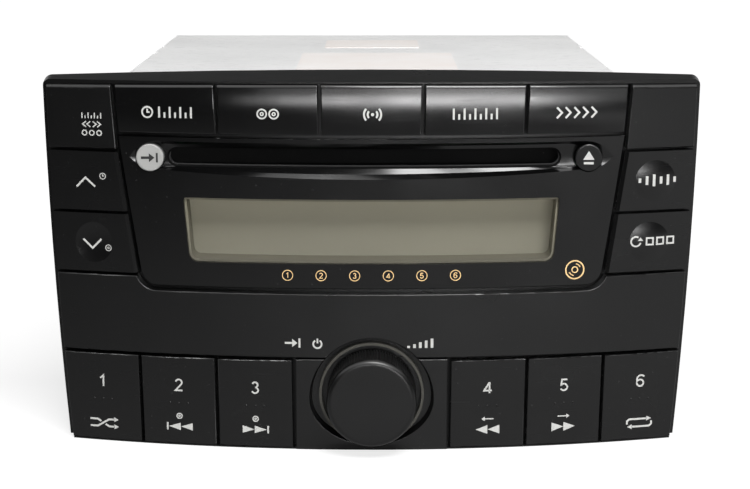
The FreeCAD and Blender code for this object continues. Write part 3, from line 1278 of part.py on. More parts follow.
def make_ribbon_cable():
    """Flat cable from the board behind the face, down to the main board, with a plug at each end."""
    t = RIBBON_THICKNESS
    r = RIBBON_BEND
    half = RIBBON_WIDTH / 2
    front_y = BOARD_FRONT_Y + BOARD_THICKNESS
    low_z = BOARD_TOP_Z + t
    upper_y, lower_y = RIBBON_Y - r, RIBBON_Y + r
    upper_z, lower_z = RIBBON_Z - r, low_z + r
    k = r * math.sqrt(0.5)
    path = Part.Wire([
        Part.makeLine(V(0, front_y, RIBBON_Z), V(0, upper_y, RIBBON_Z)),
        Part.Arc(V(0, upper_y, RIBBON_Z), V(0, upper_y + k, upper_z + k), V(0, RIBBON_Y, upper_z)).toShape(),
        Part.makeLine(V(0, RIBBON_Y, upper_z), V(0, RIBBON_Y, lower_z)),
        Part.Arc(V(0, RIBBON_Y, lower_z), V(0, lower_y - k, lower_z - k), V(0, lower_y, low_z)).toShape(),
        Part.makeLine(V(0, lower_y, low_z), V(0, lower_y + RIBBON_PLUG, low_z)),
    ])
    section = Part.makePolygon([V(-half, front_y, RIBBON_Z - t / 2), V(half, front_y, RIBBON_Z - t / 2),
                                V(half, front_y, RIBBON_Z + t / 2), V(-half, front_y, RIBBON_Z + t / 2),
                                V(-half, front_y, RIBBON_Z - t / 2)])
    strip = path.makePipeShell([section], True, False)
    plug_half = half + 2
    front_plug = box(-plug_half, plug_half, front_y, front_y + 2, RIBBON_Z - 2, RIBBON_Z + 2)
    rear_plug = box(-plug_half, plug_half, lower_y + RIBBON_PLUG / 2, lower_y + RIBBON_PLUG * 1.5,
                    BOARD_TOP_Z, BOARD_TOP_Z + 3)
    return joined([strip, front_plug, rear_plug])


def make_chassis_screws():
    """Screws of the back cover's tabs, the skirts, the rear panel, the heat sink, the board and the deck."""
    short = 4 * SHEET
    screws = [screw(V(side * CHASSIS_HALF, y, z), (-side, 0, 0), short) for side, y, z in skirt_fixings()]
    screws += [screw(V(side * SIDE_TAB_OUTER_X, y, z), (-side, 0, 0), short)
               for side, y, z in tab_fixings()]
    screws += [screw(V(x, REAR_FACE_Y, z), (0, -1, 0), short) for x, z in rear_fixings()]
    screws += [screw(V(x, REAR_FACE_Y + SINK_BASE, z), (0, -1, 0), SCREW_LENGTH) for x, z in sink_fixings()]
    screws += [screw(V(x, y, BOARD_TOP_Z), (0, 0, -1), SCREW_LENGTH - HAIRLINE) for x, y in board_fixings()]
    screws += [screw(V(x, y, DECK_TOP_Z), (0, 0, -1), SCREW_LENGTH) for x, y in deck_posts()]
    return group(screws)


def tray_posts():
    reach = TRAY_HALF - TRAY_POST_INSET
    return [(x, TRAY_CENTRE_Y + y) for x in (-reach, reach) for y in (-reach, reach)]


def make_mechanism_frame():
    """Deck, roller brackets and the two walls that hold the sled's rods and screw."""
    deck = box(-DECK_HALF, DECK_HALF, DECK_FRONT_Y, DECK_REAR_Y, DECK_Z, DECK_TOP_Z)
    top = DISC_FLOOR_Z - DISC_THICKNESS
    added = []
    for side in (-1, 1):
        x0, x1 = span(side, BRACKET_X, BRACKET_X + BRACKET_SHEET)
        added.append(box(x0, x1, ROLLER_Y - BRACKET_HALF_DEPTH, ROLLER_Y + BRACKET_HALF_DEPTH, DECK_Z, top))
    wall_left = -ROD_X - 2 * ROD_RADIUS
    wall_right = LEAD_SCREW_X + SLED_MOTOR_RADIUS + 1.0
    for y in (WALL_FRONT_Y, WALL_REAR_Y):
        added.append(box(wall_left, wall_right, y, y + WALL_SHEET, DECK_Z, DECK_TOP_Z + WALL_HEIGHT))
    body = joined([deck] + added)

    cuts = [rod_x(ROLLER_Y, ROLLER_Z, ROLLER_SHAFT_RADIUS + RUNNING_GAP, -DECK_HALF, DECK_HALF),
            rod_x(ROLLER_Y, PINION_Z, PINION_SHAFT_RADIUS + 1.0, 0, DECK_HALF),
            rod_y(LEAD_SCREW_X, LEAD_SCREW_Z, LEAD_SCREW_RADIUS + RUNNING_GAP, DECK_FRONT_Y, DECK_REAR_Y)]
    cuts += [rod_y(side * ROD_X, ROD_Z, ROD_RADIUS + RUNNING_GAP, DECK_FRONT_Y, DECK_REAR_Y)
             for side in (-1, 1)]
    cuts += [rod_z(x, y, SCREW_RADIUS + HOLE_GAP, DECK_Z - 1, DECK_TOP_Z + 1) for x, y in deck_posts()]
    return body.cut(cuts)


def make_disc_trays():
    """A stack of open trays, each with a round pocket for a disc and a mouth towards the front."""
    half = TRAY_HALF
    y = TRAY_CENTRE_Y
    plate = box(-half, half, y - half, y + half, 0, TRAY_THICKNESS)
    plate = plate.makeFillet(TRAY_CORNER, [edge for edge in plate.Edges if edge.BoundBox.ZLength > 1])
    opening = rod_z(0, y, TRAY_OPENING, -1, TRAY_THICKNESS + 1)
    mouth = box(-TRAY_OPENING, TRAY_OPENING, y - half - 1, y, -1, TRAY_THICKNESS + 1)
    pocket = rod_z(0, y, DISC_RADIUS + DISC_GAP, TRAY_THICKNESS - DISC_POCKET_DEPTH, TRAY_THICKNESS + 1)
    holes = [rod_z(post_x, post_y, TRAY_POST_RADIUS + TRAY_POST_GAP, -1, TRAY_THICKNESS + 1)
             for post_x, post_y in tray_posts()]
    plate = plate.cut([opening.fuse(mouth), pocket] + holes)
    trays = []
    for level in range(TRAY_COUNT):
        tray = plate.copy()
        tray.translate(V(0, 0, TRAY_LOW_Z + level * TRAY_PITCH))
        trays.append(tray)
    return group(trays)


def make_elevator_posts():
    return group([rod_z(x, y, TRAY_POST_RADIUS, DECK_TOP_Z, TUB_TOP_Z) for x, y in tray_posts()])


def gear(teeth, x0, y, z, first_deg):
    """A spur gear along X whose first tooth points first_deg from +Y towards +Z."""
    pitch_radius = GEAR_MODULE * teeth / 2
    root = pitch_radius - GEAR_MODULE * 1.1
    tip = pitch_radius + GEAR_MODULE * 0.8
    step = 2 * math.pi / teeth
    points = []
    for tooth in range(teeth):
        middle = math.radians(first_deg) + tooth * step
        for radius, share in ((root, -0.3), (tip, -0.13), (tip, 0.13), (root, 0.3)):
            angle = middle + share * step
            points.append(V(x0, y + radius * math.cos(angle), z + radius * math.sin(angle)))
    return Part.Face(Part.makePolygon(points + points[:1])).extrude(V(GEAR_WIDTH, 0, 0))


def make_feed_roller():
    left_end = -BRACKET_X - BRACKET_SHEET - ROLLER_SHAFT_END
    right_end = GEAR_X + GEAR_WIDTH + ROLLER_SHAFT_END
    shaft = rod_x(ROLLER_Y, ROLLER_Z, ROLLER_SHAFT_RADIUS, left_end, right_end)
    rubber = rod_x(ROLLER_Y, ROLLER_Z, ROLLER_RADIUS, -ROLLER_HALF, ROLLER_HALF)
    return joined([shaft, rubber])


def make_roller_gear():
    wheel = gear(ROLLER_TEETH, GEAR_X, ROLLER_Y, ROLLER_Z, -90)
    return wheel.cut(rod_x(ROLLER_Y, ROLLER_Z, ROLLER_SHAFT_RADIUS, GEAR_X - 1, GEAR_X + GEAR_WIDTH + 2))


def make_motor_pinion():
    wheel = gear(PINION_TEETH, GEAR_X, ROLLER_Y, PINION_Z, 90 + 180 / PINION_TEETH)
    start = BRACKET_X - PINION_SHAFT_DEPTH + HAIRLINE
    return joined([wheel, rod_x(ROLLER_Y, PINION_Z, PINION_SHAFT_RADIUS, start, GEAR_X + GEAR_WIDTH)])


def make_loading_motor():
    can = rod_x(ROLLER_Y, PINION_Z, LOADING_MOTOR_RADIUS, BRACKET_X - LOADING_MOTOR_LENGTH, BRACKET_X)
    bore = rod_x(ROLLER_Y, PINION_Z, PINION_SHAFT_RADIUS + RUNNING_GAP, BRACKET_X - PINION_SHAFT_DEPTH,
                 BRACKET_X + 1)
    return can.cut(bore)


def make_spindle_motor():
    can = rod_z(0, TRAY_CENTRE_Y, SPINDLE_MOTOR_RADIUS, DECK_TOP_Z, DECK_TOP_Z + SPINDLE_MOTOR_HEIGHT)
    return can.cut(rod_z(0, TRAY_CENTRE_Y, SPINDLE_RADIUS + RUNNING_GAP, DECK_TOP_Z + 2, DECK_TOP_Z + 50))


def make_turntable():
    top = TURNTABLE_Z + TURNTABLE_THICKNESS
    plate = rod_z(0, TRAY_CENTRE_Y, TURNTABLE_RADIUS, TURNTABLE_Z, top)
    hub = rod_z(0, TRAY_CENTRE_Y, SPINDLE_HUB_RADIUS, top, top + SPINDLE_HUB_HEIGHT)
    upper = [edge for edge in hub.Edges if edge.BoundBox.ZMin > top + SPINDLE_HUB_HEIGHT - 0.01]
    hub = hub.makeChamfer(SPINDLE_HUB_HEIGHT / 2, upper)
    shaft = rod_z(0, TRAY_CENTRE_Y, SPINDLE_RADIUS, DECK_TOP_Z + 2 + HAIRLINE, TURNTABLE_Z)
    return joined([plate, hub, shaft])


def make_pickup_sled():
    y0, y1 = SLED_INNER_Y - SLED_LENGTH, SLED_INNER_Y
    top = SLED_LOW_Z + SLED_HEIGHT
    body = box(-SLED_HALF, SLED_HALF, y0, y1, SLED_LOW_Z, top)
    middle = (y0 + y1) / 2
    lens = rod_z(0, middle, LENS_RADIUS, top, top + LENS_HEIGHT)
    arm = box(SLED_HALF - 1, LEAD_SCREW_X + 3, middle - 4, middle + 4, LEAD_SCREW_Z - 3, LEAD_SCREW_Z + 3)
    cuts = [rod_y(side * ROD_X, ROD_Z, ROD_RADIUS + RUNNING_GAP, y0 - 1, y1 + 1) for side in (-1, 1)]
    cuts.append(rod_y(LEAD_SCREW_X, LEAD_SCREW_Z, LEAD_SCREW_RADIUS + RUNNING_GAP, y0 - 1, y1 + 1))
    return joined([body, lens, arm]).cut(cuts)


def make_sled_rods():
    end = WALL_REAR_Y + WALL_SHEET
    return group([rod_y(side * ROD_X, ROD_Z, ROD_RADIUS, WALL_FRONT_Y, end) for side in (-1, 1)])


def make_lead_screw():
    start = WALL_FRONT_Y - SLED_MOTOR_LENGTH / 2 + HAIRLINE
    return rod_y(LEAD_SCREW_X, LEAD_SCREW_Z, LEAD_SCREW_RADIUS, start, WALL_REAR_Y + WALL_SHEET)


def make_sled_motor():
    can = rod_y(LEAD_SCREW_X, LEAD_SCREW_Z, SLED_MOTOR_RADIUS, WALL_FRONT_Y - SLED_MOTOR_LENGTH, WALL_FRONT_Y)
    return can.cut(rod_y(LEAD_SCREW_X, LEAD_SCREW_Z, LEAD_SCREW_RADIUS + RUNNING_GAP,
                         WALL_FRONT_Y - SLED_MOTOR_LENGTH / 2, WALL_FRONT_Y + 1))


def build_face():
    rim = rim_body()
    tile = tile_body()
    key_layer = shell(0.0, KEY_THICKNESS)
    rolled_layer = key_profile()
    parts = {
        "front_bezel": make_front_bezel(rim, tile),
        "display_panel": make_display_panel(),
        "display_window": make_display_window(),
        "display_frame": make_display_frame(),
        "display_filter": make_display_filter(),
        "lcd_glass": make_lcd_glass(),
        "front_board": make_front_board(),
        "tact_switches": make_tact_switches(),
        "face_back_cover": make_back_cover(),
        "face_screws": make_face_screws(),
        "slot_shutter": make_slot_shutter(),
        "slot_felt": make_slot_felt(),
        "load_key": make_round_key(LOAD_KEY_X),
        "eject_key": make_round_key(EJECT_KEY_X),
        "volume_knob": make_volume_knob(),
        "knob_ring": make_knob_ring(),
        "encoder": make_encoder(),
        "encoder_shaft": make_encoder_shaft(),
    }
    for index in range(TOP_KEY_COUNT):
        parts[f"top_key_{index + 1}"] = make_top_key(index, rolled_layer)
    for side, word in ((-1, "left"), (1, "right")):
        for row in side_key_rows():
            parts[f"{word}_{row}_key"] = make_side_key(side, row, tile, key_layer)
    for index in range(6):
        parts[f"preset_key_{index + 1}"] = make_preset_key(index, tile, key_layer)
    return parts


def build_box():
    return {
        "chassis_tub": make_chassis_tub(),
        "top_cover": make_top_cover(),
        "cover_labels": make_cover_labels(),
        "rear_panel": make_rear_panel(),
        "chassis_screws": make_chassis_screws(),
        "heat_sink": make_heat_sink(),
        "main_connector": make_socket(MAIN_SOCKET_X, MAIN_SOCKET_WIDTH, MAIN_SOCKET_HEIGHT,
                                      MAIN_SOCKET_COLUMNS),
        "aux_connector": make_socket(AUX_SOCKET_X, AUX_SOCKET_WIDTH, AUX_SOCKET_HEIGHT,
                                     AUX_SOCKET_COLUMNS),
        "antenna_socket": make_antenna_socket(),
        "locating_stud": make_locating_stud(),
        "main_board": make_main_board(),
        "board_components": make_board_components(),
        "amplifier_chip": make_amplifier_chip(),
        "ribbon_cable": make_ribbon_cable(),
    }


def build_changer():
    return {
        "mechanism_frame": make_mechanism_frame(),
        "disc_trays": make_disc_trays(),
        "elevator_posts": make_elevator_posts(),
        "feed_roller": make_feed_roller(),
        "roller_gear": make_roller_gear(),
        "loading_motor": make_loading_motor(),
        "motor_pinion": make_motor_pinion(),
        "spindle_motor": make_spindle_motor(),
        "turntable": make_turntable(),
        "pickup_sled": make_pickup_sled(),
        "sled_rods": make_sled_rods(),
        "lead_screw": make_lead_screw(),
        "sled_motor": make_sled_motor(),
    }


parts = build_face()
parts.update(build_box())
parts.update(build_changer())
os.makedirs("parts", exist_ok=True)
for name, shape in parts.items():
    shape.translate(V(0, -MIDDLE_Y, 0))
    print(name, shape.isValid(), len(shape.Solids), round(shape.Volume, 1), len(shape.Faces))
    shape.exportStep(f"parts/{name}.step")
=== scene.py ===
import bmesh
import bpy
import json
import math
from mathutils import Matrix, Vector
from mathutils.bvhtree import BVHTree


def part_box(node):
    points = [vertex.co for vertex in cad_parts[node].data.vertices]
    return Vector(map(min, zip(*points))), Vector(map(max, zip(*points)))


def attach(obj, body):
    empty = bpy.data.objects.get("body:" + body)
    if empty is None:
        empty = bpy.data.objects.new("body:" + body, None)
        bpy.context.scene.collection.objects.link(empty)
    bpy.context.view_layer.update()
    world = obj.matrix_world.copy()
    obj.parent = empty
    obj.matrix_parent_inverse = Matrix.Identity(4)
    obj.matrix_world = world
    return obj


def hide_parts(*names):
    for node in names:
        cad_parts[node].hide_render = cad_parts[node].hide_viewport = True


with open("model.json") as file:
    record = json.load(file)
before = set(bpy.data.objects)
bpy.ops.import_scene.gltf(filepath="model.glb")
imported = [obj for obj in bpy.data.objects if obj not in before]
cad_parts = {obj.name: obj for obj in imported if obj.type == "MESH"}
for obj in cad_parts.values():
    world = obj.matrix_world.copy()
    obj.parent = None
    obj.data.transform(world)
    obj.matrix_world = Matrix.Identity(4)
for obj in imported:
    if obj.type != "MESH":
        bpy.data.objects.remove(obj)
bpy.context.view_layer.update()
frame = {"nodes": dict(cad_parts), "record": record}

# A car radio that stands on the lower edge of its face. X is to the viewer's right, Y goes from the
# face to the rear, Z is up. Blender's unit is the metre; sizes here are in millimetres times MM.
MM = 0.001
NODES = frame["nodes"]

# Camera: where the photograph was taken from
CAMERA_X = 1.25 * MM
CAMERA_Y = -711.2 * MM
CAMERA_Z = 201.4 * MM
CAMERA_DOWN_DEG = 11.53
CAMERA_LENS = 84.9
CAMERA_SENSOR = 36.0
CAMERA_CLIP = (0.01, 50.0)

# Colours, linear
WHITE_INK = (0.58, 0.58, 0.56)
GOLD_INK = (0.87, 0.60, 0.29)
DARK_INK = (0.03, 0.03, 0.03)
FACE_BLACK = (0.0034, 0.0034, 0.0035)
PANEL_BLACK = (0.0028, 0.0028, 0.0029)
CHAMBER_BLACK = (0.002, 0.002, 0.002)

# Painted light on the display film and the well's walls: their upper colour against the lower one, painted
# paler towards the top against the shade under the well's upper edge, and the heights between which it turns
FILM_PAINTED_LIGHT = (1.45, 1.43, 1.38)
FILM_HEIGHTS = (70 * MM, 88 * MM)
FILM_CLOUD = 0.1

# The middle of a noise, where most of its values lie
NOISE_MIDDLE = (0.3, 0.7)

# Black plastic: where its noises turn into dust and scuffs, how far dust pales it, and how much
# scuffs and clouds change its roughness
DUST_EDGE = (0.82, 0.88)
DUST_SHARE = 0.35
SCUFF_EDGE = (0.66, 0.74)
SCUFF_DULL = 0.03
BLACK_CLOUD = 0.03

# Other plastics: shares of the colour at its darkest and lightest, and the change of roughness
PLASTIC_SHADES = (0.88, 1.12)
PLASTIC_CLOUD = 0.04

# Metal: where its noise turns into a speck, shares of the colour in specks and in dull blotches, and
# the change of roughness along its grain
SPECK_EDGE = (0.70, 0.78)
SPECK_SHADE = 0.25
DULL_SHADE = 0.90
METAL_CLOUD = 0.08

# Printed marks stand a hair proud of the surface that carries them
INK_PROUD = 0.05 * MM
INK_SUNK = 0.02 * MM

# Share of the colour where the paint is thin
INK_THIN = 0.82

# Widest cell of a mark in millimetres, so that it follows a curved surface
INK_CELL = 1.0
CIRCLE_STEPS = 40
ARC_STEPS = 24

# Corners sharper than this stay crisp on smooth pieces
CORNER_DEG = 35.0


def new_material(name, colour, roughness, metallic=0.0, specular=0.5):
    """A Principled material; returns it with its tree and shader."""
    material = bpy.data.materials.new(name)
    material.use_nodes = True
    tree = material.node_tree
    shader = tree.nodes["Principled BSDF"]
    shader.inputs["Base Color"].default_value = (*colour, 1.0)
    shader.inputs["Roughness"].default_value = roughness
    shader.inputs["Metallic"].default_value = metallic
    shader.inputs["Specular IOR Level"].default_value = specular
    return material, tree, shader


def object_noise(tree, scale, detail=2.0, stretch=None):
    """Noise that is fixed to the object; stretch is how much finer it is along X, Y and Z."""
    coordinates = tree.nodes.new("ShaderNodeTexCoord")
    source = coordinates.outputs["Object"]
    if stretch:
        mapping = tree.nodes.new("ShaderNodeMapping")
        mapping.inputs["Scale"].default_value = stretch
        tree.links.new(source, mapping.inputs["Vector"])
        source = mapping.outputs["Vector"]
    noise = tree.nodes.new("ShaderNodeTexNoise")
    noise.inputs["Scale"].default_value = scale
    noise.inputs["Detail"].default_value = detail
    tree.links.new(source, noise.inputs["Vector"])
    return noise.outputs["Fac"]


def spread(tree, value, low, high, to_low, to_high):
    """A value remapped and clamped from low..high to to_low..to_high."""
    node = tree.nodes.new("ShaderNodeMapRange")
    for socket, number in (("From Min", low), ("From Max", high), ("To Min", to_low), ("To Max", to_high)):
        node.inputs[socket].default_value = number
    tree.links.new(value, node.inputs["Value"])
    return node.outputs["Result"]


def maths(tree, operation, first, second):
    """A Math node of two inputs, each a socket or a number."""
    node = tree.nodes.new("ShaderNodeMath")
    node.operation = operation
    for socket, value in zip(node.inputs, (first, second)):
        if isinstance(value, float):
            socket.default_value = value
        else:
            tree.links.new(value, socket)
    return node.outputs[0]


def tint(tree, factor, colour_a, colour_b):
    """A colour between two, by a factor that varies over the surface."""
    node = tree.nodes.new("ShaderNodeMix")
    node.data_type = "RGBA"
    node.inputs["A"].default_value = (*colour_a, 1.0)
    node.inputs["B"].default_value = (*colour_b, 1.0)
    tree.links.new(factor, node.inputs["Factor"])
    return node.outputs["Result"]


def bump(tree, shader, height, strength, distance):
    node = tree.nodes.new("ShaderNodeBump")
    node.inputs["Strength"].default_value = strength
    node.inputs["Distance"].default_value = distance
    tree.links.new(height, node.inputs["Height"])
    tree.links.new(node.outputs["Normal"], shader.inputs["Normal"])


def moulded_black(name, colour, roughness, specular, grain=0.10):
    """Black plastic with a spark-eroded grain, cloudy gloss, fine scuffs and a few specks of dust."""
    material, tree, shader = new_material(name, colour, roughness, specular=specular)
    clouds = object_noise(tree, 45.0, 3.0)
    scuffs = object_noise(tree, 900.0, 1.0, (0.06, 0.25, 1.0))
    dust = object_noise(tree, 1400.0, 0.0)
    grey = tuple(5.0 * channel + 0.05 for channel in colour)
    dusty = spread(tree, dust, *DUST_EDGE, 0.0, DUST_SHARE)
    tree.links.new(tint(tree, dusty, colour, grey), shader.inputs["Base Color"])
    cloudy = spread(tree, clouds, *NOISE_MIDDLE, roughness - BLACK_CLOUD, roughness + BLACK_CLOUD)
    scuffed = spread(tree, scuffs, *SCUFF_EDGE, 0.0, SCUFF_DULL)
    tree.links.new(maths(tree, "ADD", cloudy, scuffed), shader.inputs["Roughness"])
    bump(tree, shader, object_noise(tree, 2600.0, 1.0), grain, 0.03 * MM)
    return material


def plain_plastic(name, colour, roughness, specular=0.4):
    """Moulded plastic: a faint orange-peel and a little unevenness of colour."""
    material, tree, shader = new_material(name, colour, roughness, specular=specular)
    light = tuple(min(1.0, channel * PLASTIC_SHADES[1]) for channel in colour)
    dark = tuple(channel * PLASTIC_SHADES[0] for channel in colour)
    tree.links.new(tint(tree, object_noise(tree, 120.0, 3.0), dark, light), shader.inputs["Base Color"])
    rough = spread(tree, object_noise(tree, 300.0, 2.0), *NOISE_MIDDLE,
                   roughness - PLASTIC_CLOUD, roughness + PLASTIC_CLOUD)
    tree.links.new(rough, shader.inputs["Roughness"])
    bump(tree, shader, object_noise(tree, 1500.0, 1.0), 0.08, 0.03 * MM)
    return material


def rolled_metal(name, colour, roughness, stretch=(1.0, 14.0, 14.0), specks=0.25, metallic=1.0,
                 specular=0.5):
    """Sheet or turned metal, with its rolling marks along one axis and dull specks."""
    material, tree, shader = new_material(name, colour, roughness, metallic, specular)
    grain = object_noise(tree, 160.0, 3.0, stretch)
    blotches = object_noise(tree, 26.0, 4.0)
    specks_mask = spread(tree, object_noise(tree, 1100.0, 1.0), *SPECK_EDGE, 0.0, specks)
    dull = tuple(channel * DULL_SHADE for channel in colour)
    base = tint(tree, spread(tree, blotches, 0.35, 0.7, 0.0, 1.0), colour, dull)
    speckled = tree.nodes.new("ShaderNodeMix")
    speckled.data_type = "RGBA"
    speckled.inputs["B"].default_value = tuple(channel * SPECK_SHADE for channel in colour) + (1.0,)
    tree.links.new(base, speckled.inputs["A"])
    tree.links.new(specks_mask, speckled.inputs["Factor"])
    tree.links.new(speckled.outputs["Result"], shader.inputs["Base Color"])
    rough = spread(tree, grain, *NOISE_MIDDLE, roughness - METAL_CLOUD, roughness + METAL_CLOUD)
    tree.links.new(rough, shader.inputs["Roughness"])
    bump(tree, shader, grain, 0.06, 0.05 * MM)
    return material


def felt():
    """Short black pile."""
    material, tree, shader = new_material("felt", CHAMBER_BLACK, 0.95, specular=0.1)
    shader.inputs["Sheen Weight"].default_value = 0.15
    fibres = object_noise(tree, 3000.0, 3.0)
    tree.links.new(tint(tree, fibres, CHAMBER_BLACK, FACE_BLACK), shader.inputs["Base Color"])
    bump(tree, shader, fibres, 0.6, 0.1 * MM)
    return material


def clear_lens():
    """The window's clear front: nearly invisible but for its reflections."""
    material, tree, shader = new_material("clear_lens", (0.02, 0.02, 0.018), 0.04, specular=0.5)
    smudges = object_noise(tree, 35.0, 3.0)
    tree.links.new(spread(tree, smudges, 0.4, 0.7, 0.03, 0.07), shader.inputs["Roughness"])
    shader.inputs["Alpha"].default_value = 0.10
    return material


def display_film(name, colour):
    """The olive film behind the window, and the well's walls, with painted light: paler towards the top."""
    material, tree, shader = new_material(name, colour, 0.75, specular=0.2)
    # Painted light: a paler copy of the colour, blended in towards the top of the film and the walls
    painted_light_top = tuple(channel * share for channel, share in zip(colour, FILM_PAINTED_LIGHT))
    coordinates = tree.nodes.new("ShaderNodeTexCoord")
    split = tree.nodes.new("ShaderNodeSeparateXYZ")
    tree.links.new(coordinates.outputs["Object"], split.inputs["Vector"])
    height = spread(tree, split.outputs["Z"], *FILM_HEIGHTS, 0.0, 1.0)
    cloudy = spread(tree, object_noise(tree, 28.0, 2.0), *NOISE_MIDDLE, 0.0, FILM_CLOUD)
    tree.links.new(tint(tree, maths(tree, "ADD", height, cloudy), colour, painted_light_top), shader.inputs["Base Color"])
    bump(tree, shader, object_noise(tree, 4000.0, 0.0), 0.05, 0.02 * MM)
    return material


def label_paper():
    """A blank sticker's coated paper, a little yellowed and rubbed."""
    material, tree, shader = new_material("label_paper", (0.90, 0.88, 0.86), 0.5, specular=0.3)
    stain = spread(tree, object_noise(tree, 30.0, 4.0), 0.35, 0.75, 0.0, 1.0)
    tree.links.new(tint(tree, stain, (0.93, 0.90, 0.88), (0.88, 0.82, 0.78)), shader.inputs["Base Color"])
    bump(tree, shader, object_noise(tree, 1800.0, 2.0), 0.10, 0.02 * MM)
    return material


def circuit_board():
    """Green lacquer over copper lands."""
    material, tree, shader = new_material("circuit_board", (0.02, 0.13, 0.05), 0.35, specular=0.5)
    lands = spread(tree, object_noise(tree, 260.0, 0.0), 0.50, 0.52, 0.0, 1.0)
    tree.links.new(tint(tree, lands, (0.015, 0.10, 0.04), (0.03, 0.19, 0.07)), shader.inputs["Base Color"])
    bump(tree, shader, lands, 0.2, 0.03 * MM)
    return material


def ink(name, colour):
    """Screen-printed paint with slightly uneven cover."""
    material, tree, shader = new_material(name, colour, 0.55, specular=0.2)
    thin = tuple(channel * INK_THIN for channel in colour)
    cover = spread(tree, object_noise(tree, 1600.0, 2.0), 0.55, 0.8, 0.0, 1.0)
    tree.links.new(tint(tree, cover, colour, thin), shader.inputs["Base Color"])
    return material


def by_slot():
    """The material of each slot in the record."""
    return {
        "black_plastic": moulded_black("black_plastic", FACE_BLACK, 0.30, 0.45),
        "silver_plastic": plain_plastic("silver_plastic", (0.38, 0.38, 0.37), 0.30, 0.5),
        "ring_plastic": plain_plastic("ring_plastic", (0.06, 0.058, 0.05), 0.45, 0.3),
        "felt": felt(),
        "clear_lens": clear_lens(),
        "display_film": display_film("display_film", (0.33, 0.317, 0.254)),
        "display_glass": plain_plastic("display_glass", (0.22, 0.24, 0.19), 0.15, 0.5),
        "circuit_board": circuit_board(),
        "component_black": plain_plastic("component_black", (0.03, 0.03, 0.032), 0.5),
        "socket_plastic": plain_plastic("socket_plastic", (0.62, 0.60, 0.54), 0.5),
        "plated_sheet": rolled_metal("plated_sheet", (0.93, 0.93, 0.925), 0.34, specks=0.35, metallic=0.06,
                                     specular=0.15),
        "steel": rolled_metal("steel", (0.60, 0.60, 0.60), 0.30, (1.0, 1.0, 1.0), 0.1),
        "motor_can": rolled_metal("motor_can", (0.66, 0.66, 0.65), 0.34, (1.0, 6.0, 1.0), 0.1),
        "cast_aluminium": rolled_metal("cast_aluminium", (0.74, 0.75, 0.76), 0.42, (3.0, 3.0, 1.0), 0.15),
        "nickel": rolled_metal("nickel", (0.78, 0.75, 0.70), 0.20, (1.0, 1.0, 1.0), 0.05),
        "label_paper": label_paper(),
        "ribbon_film": plain_plastic("ribbon_film", (0.78, 0.77, 0.72), 0.35),
        "tray_plastic": plain_plastic("tray_plastic", (0.06, 0.06, 0.065), 0.45),
        "roller_rubber": plain_plastic("roller_rubber", (0.02, 0.02, 0.02), 0.8, 0.2),
        "gear_plastic": plain_plastic("gear_plastic", (0.75, 0.74, 0.70), 0.5),
        "brass": rolled_metal("brass", (0.80, 0.62, 0.30), 0.28, (1.0, 1.0, 1.0), 0.1),
    }


def dress(name, material):
    """Gives a CAD node one material."""
    mesh = NODES[name].data
    mesh.materials.clear()
    mesh.materials.append(material)


def dress_nodes():
    slots = by_slot()
    for node in frame["record"]["subparts"]:
        dress(node["node"], slots[node["material_slot"]])
    gloss = moulded_black("panel_gloss", PANEL_BLACK, 0.20, 0.50, grain=0.03)
    keys = moulded_black("key_satin", FACE_BLACK, 0.26, 0.45, grain=0.05)
    polished = moulded_black("key_polished", FACE_BLACK, 0.15, 0.50, grain=0.03)
    dark = moulded_black("dark_inside", CHAMBER_BLACK, 0.60, 0.10)
    walls = display_film("well_wall", (0.19, 0.18, 0.14))
    dress("display_panel", gloss)
    dress("eject_key", gloss)
    dress("slot_shutter", dark)
    dress("display_frame", walls)
    for name in NODES:
        if name.startswith(("left_", "right_", "preset_key")):
            dress(name, keys)
        if name.startswith("top_key"):
            dress(name, polished)
    return slots


# Printed marks: flat outlines in X and Z, millimetres, laid onto what carries them


def disc_loop(x, z, radius):
    turns = [math.tau * i / CIRCLE_STEPS for i in range(CIRCLE_STEPS)]
    return [(x + radius * math.cos(turn), z + radius * math.sin(turn)) for turn in turns]


def ring(x, z, radius, width):
    """Outlines of a ring of line width round (x, z), radius to the middle of the line."""
    return [disc_loop(x, z, radius + width / 2), disc_loop(x, z, radius - width / 2)]


def arc_points(x, z, radius, start_deg, end_deg):
    """Points along an arc, angles counted from +X towards +Z."""
    points = []
    for i in range(ARC_STEPS + 1):
        angle = math.radians(start_deg + (end_deg - start_deg) * i / ARC_STEPS)
        points.append((x + radius * math.cos(angle), z + radius * math.sin(angle)))
    return points


def line(points, width):
    """Outline of an open line through the points, mitred at its corners and cut square at its ends."""
    sides = ([], [])
    last = len(points) - 1
    for i, point in enumerate(points):
        before = Vector(points[max(i - 1, 0)])
        here = Vector(point)
        after = Vector(points[min(i + 1, last)])
        incoming = (here - before).normalized() if i else (after - here).normalized()
        outgoing = (after - here).normalized() if i < last else incoming
        along = (incoming + outgoing).normalized()
        across = Vector((-along.y, along.x))
        reach = width / 2 / max(0.35, across.dot(Vector((-incoming.y, incoming.x))))
        sides[0].append(tuple(here + across * reach))
        sides[1].append(tuple(here - across * reach))
    return [sides[0] + sides[1][::-1]]


def bar(x0, x1, z0, z1):
    return [[(x0, z0), (x1, z0), (x1, z1), (x0, z1)]]


def triangle(tip_x, base_x, z, half):
    """A solid arrowhead that points along X."""
    return [[(tip_x, z), (base_x, z + half), (base_x, z - half)]]


def flat_mesh(outlines):
    """Faces of the filled outlines, as (vertices, faces) in the XZ plane, cut into small cells."""
    curve = bpy.data.curves.new("outline", "CURVE")
    curve.dimensions = "2D"
    curve.fill_mode = "BOTH"
    for loop in outlines:
        spline = curve.splines.new("POLY")
        spline.points.add(len(loop) - 1)
        for point, (x, z) in zip(spline.points, loop):
            point.co = (x, z, 0.0, 1.0)
        spline.use_cyclic_u = True
    return cells(curve)


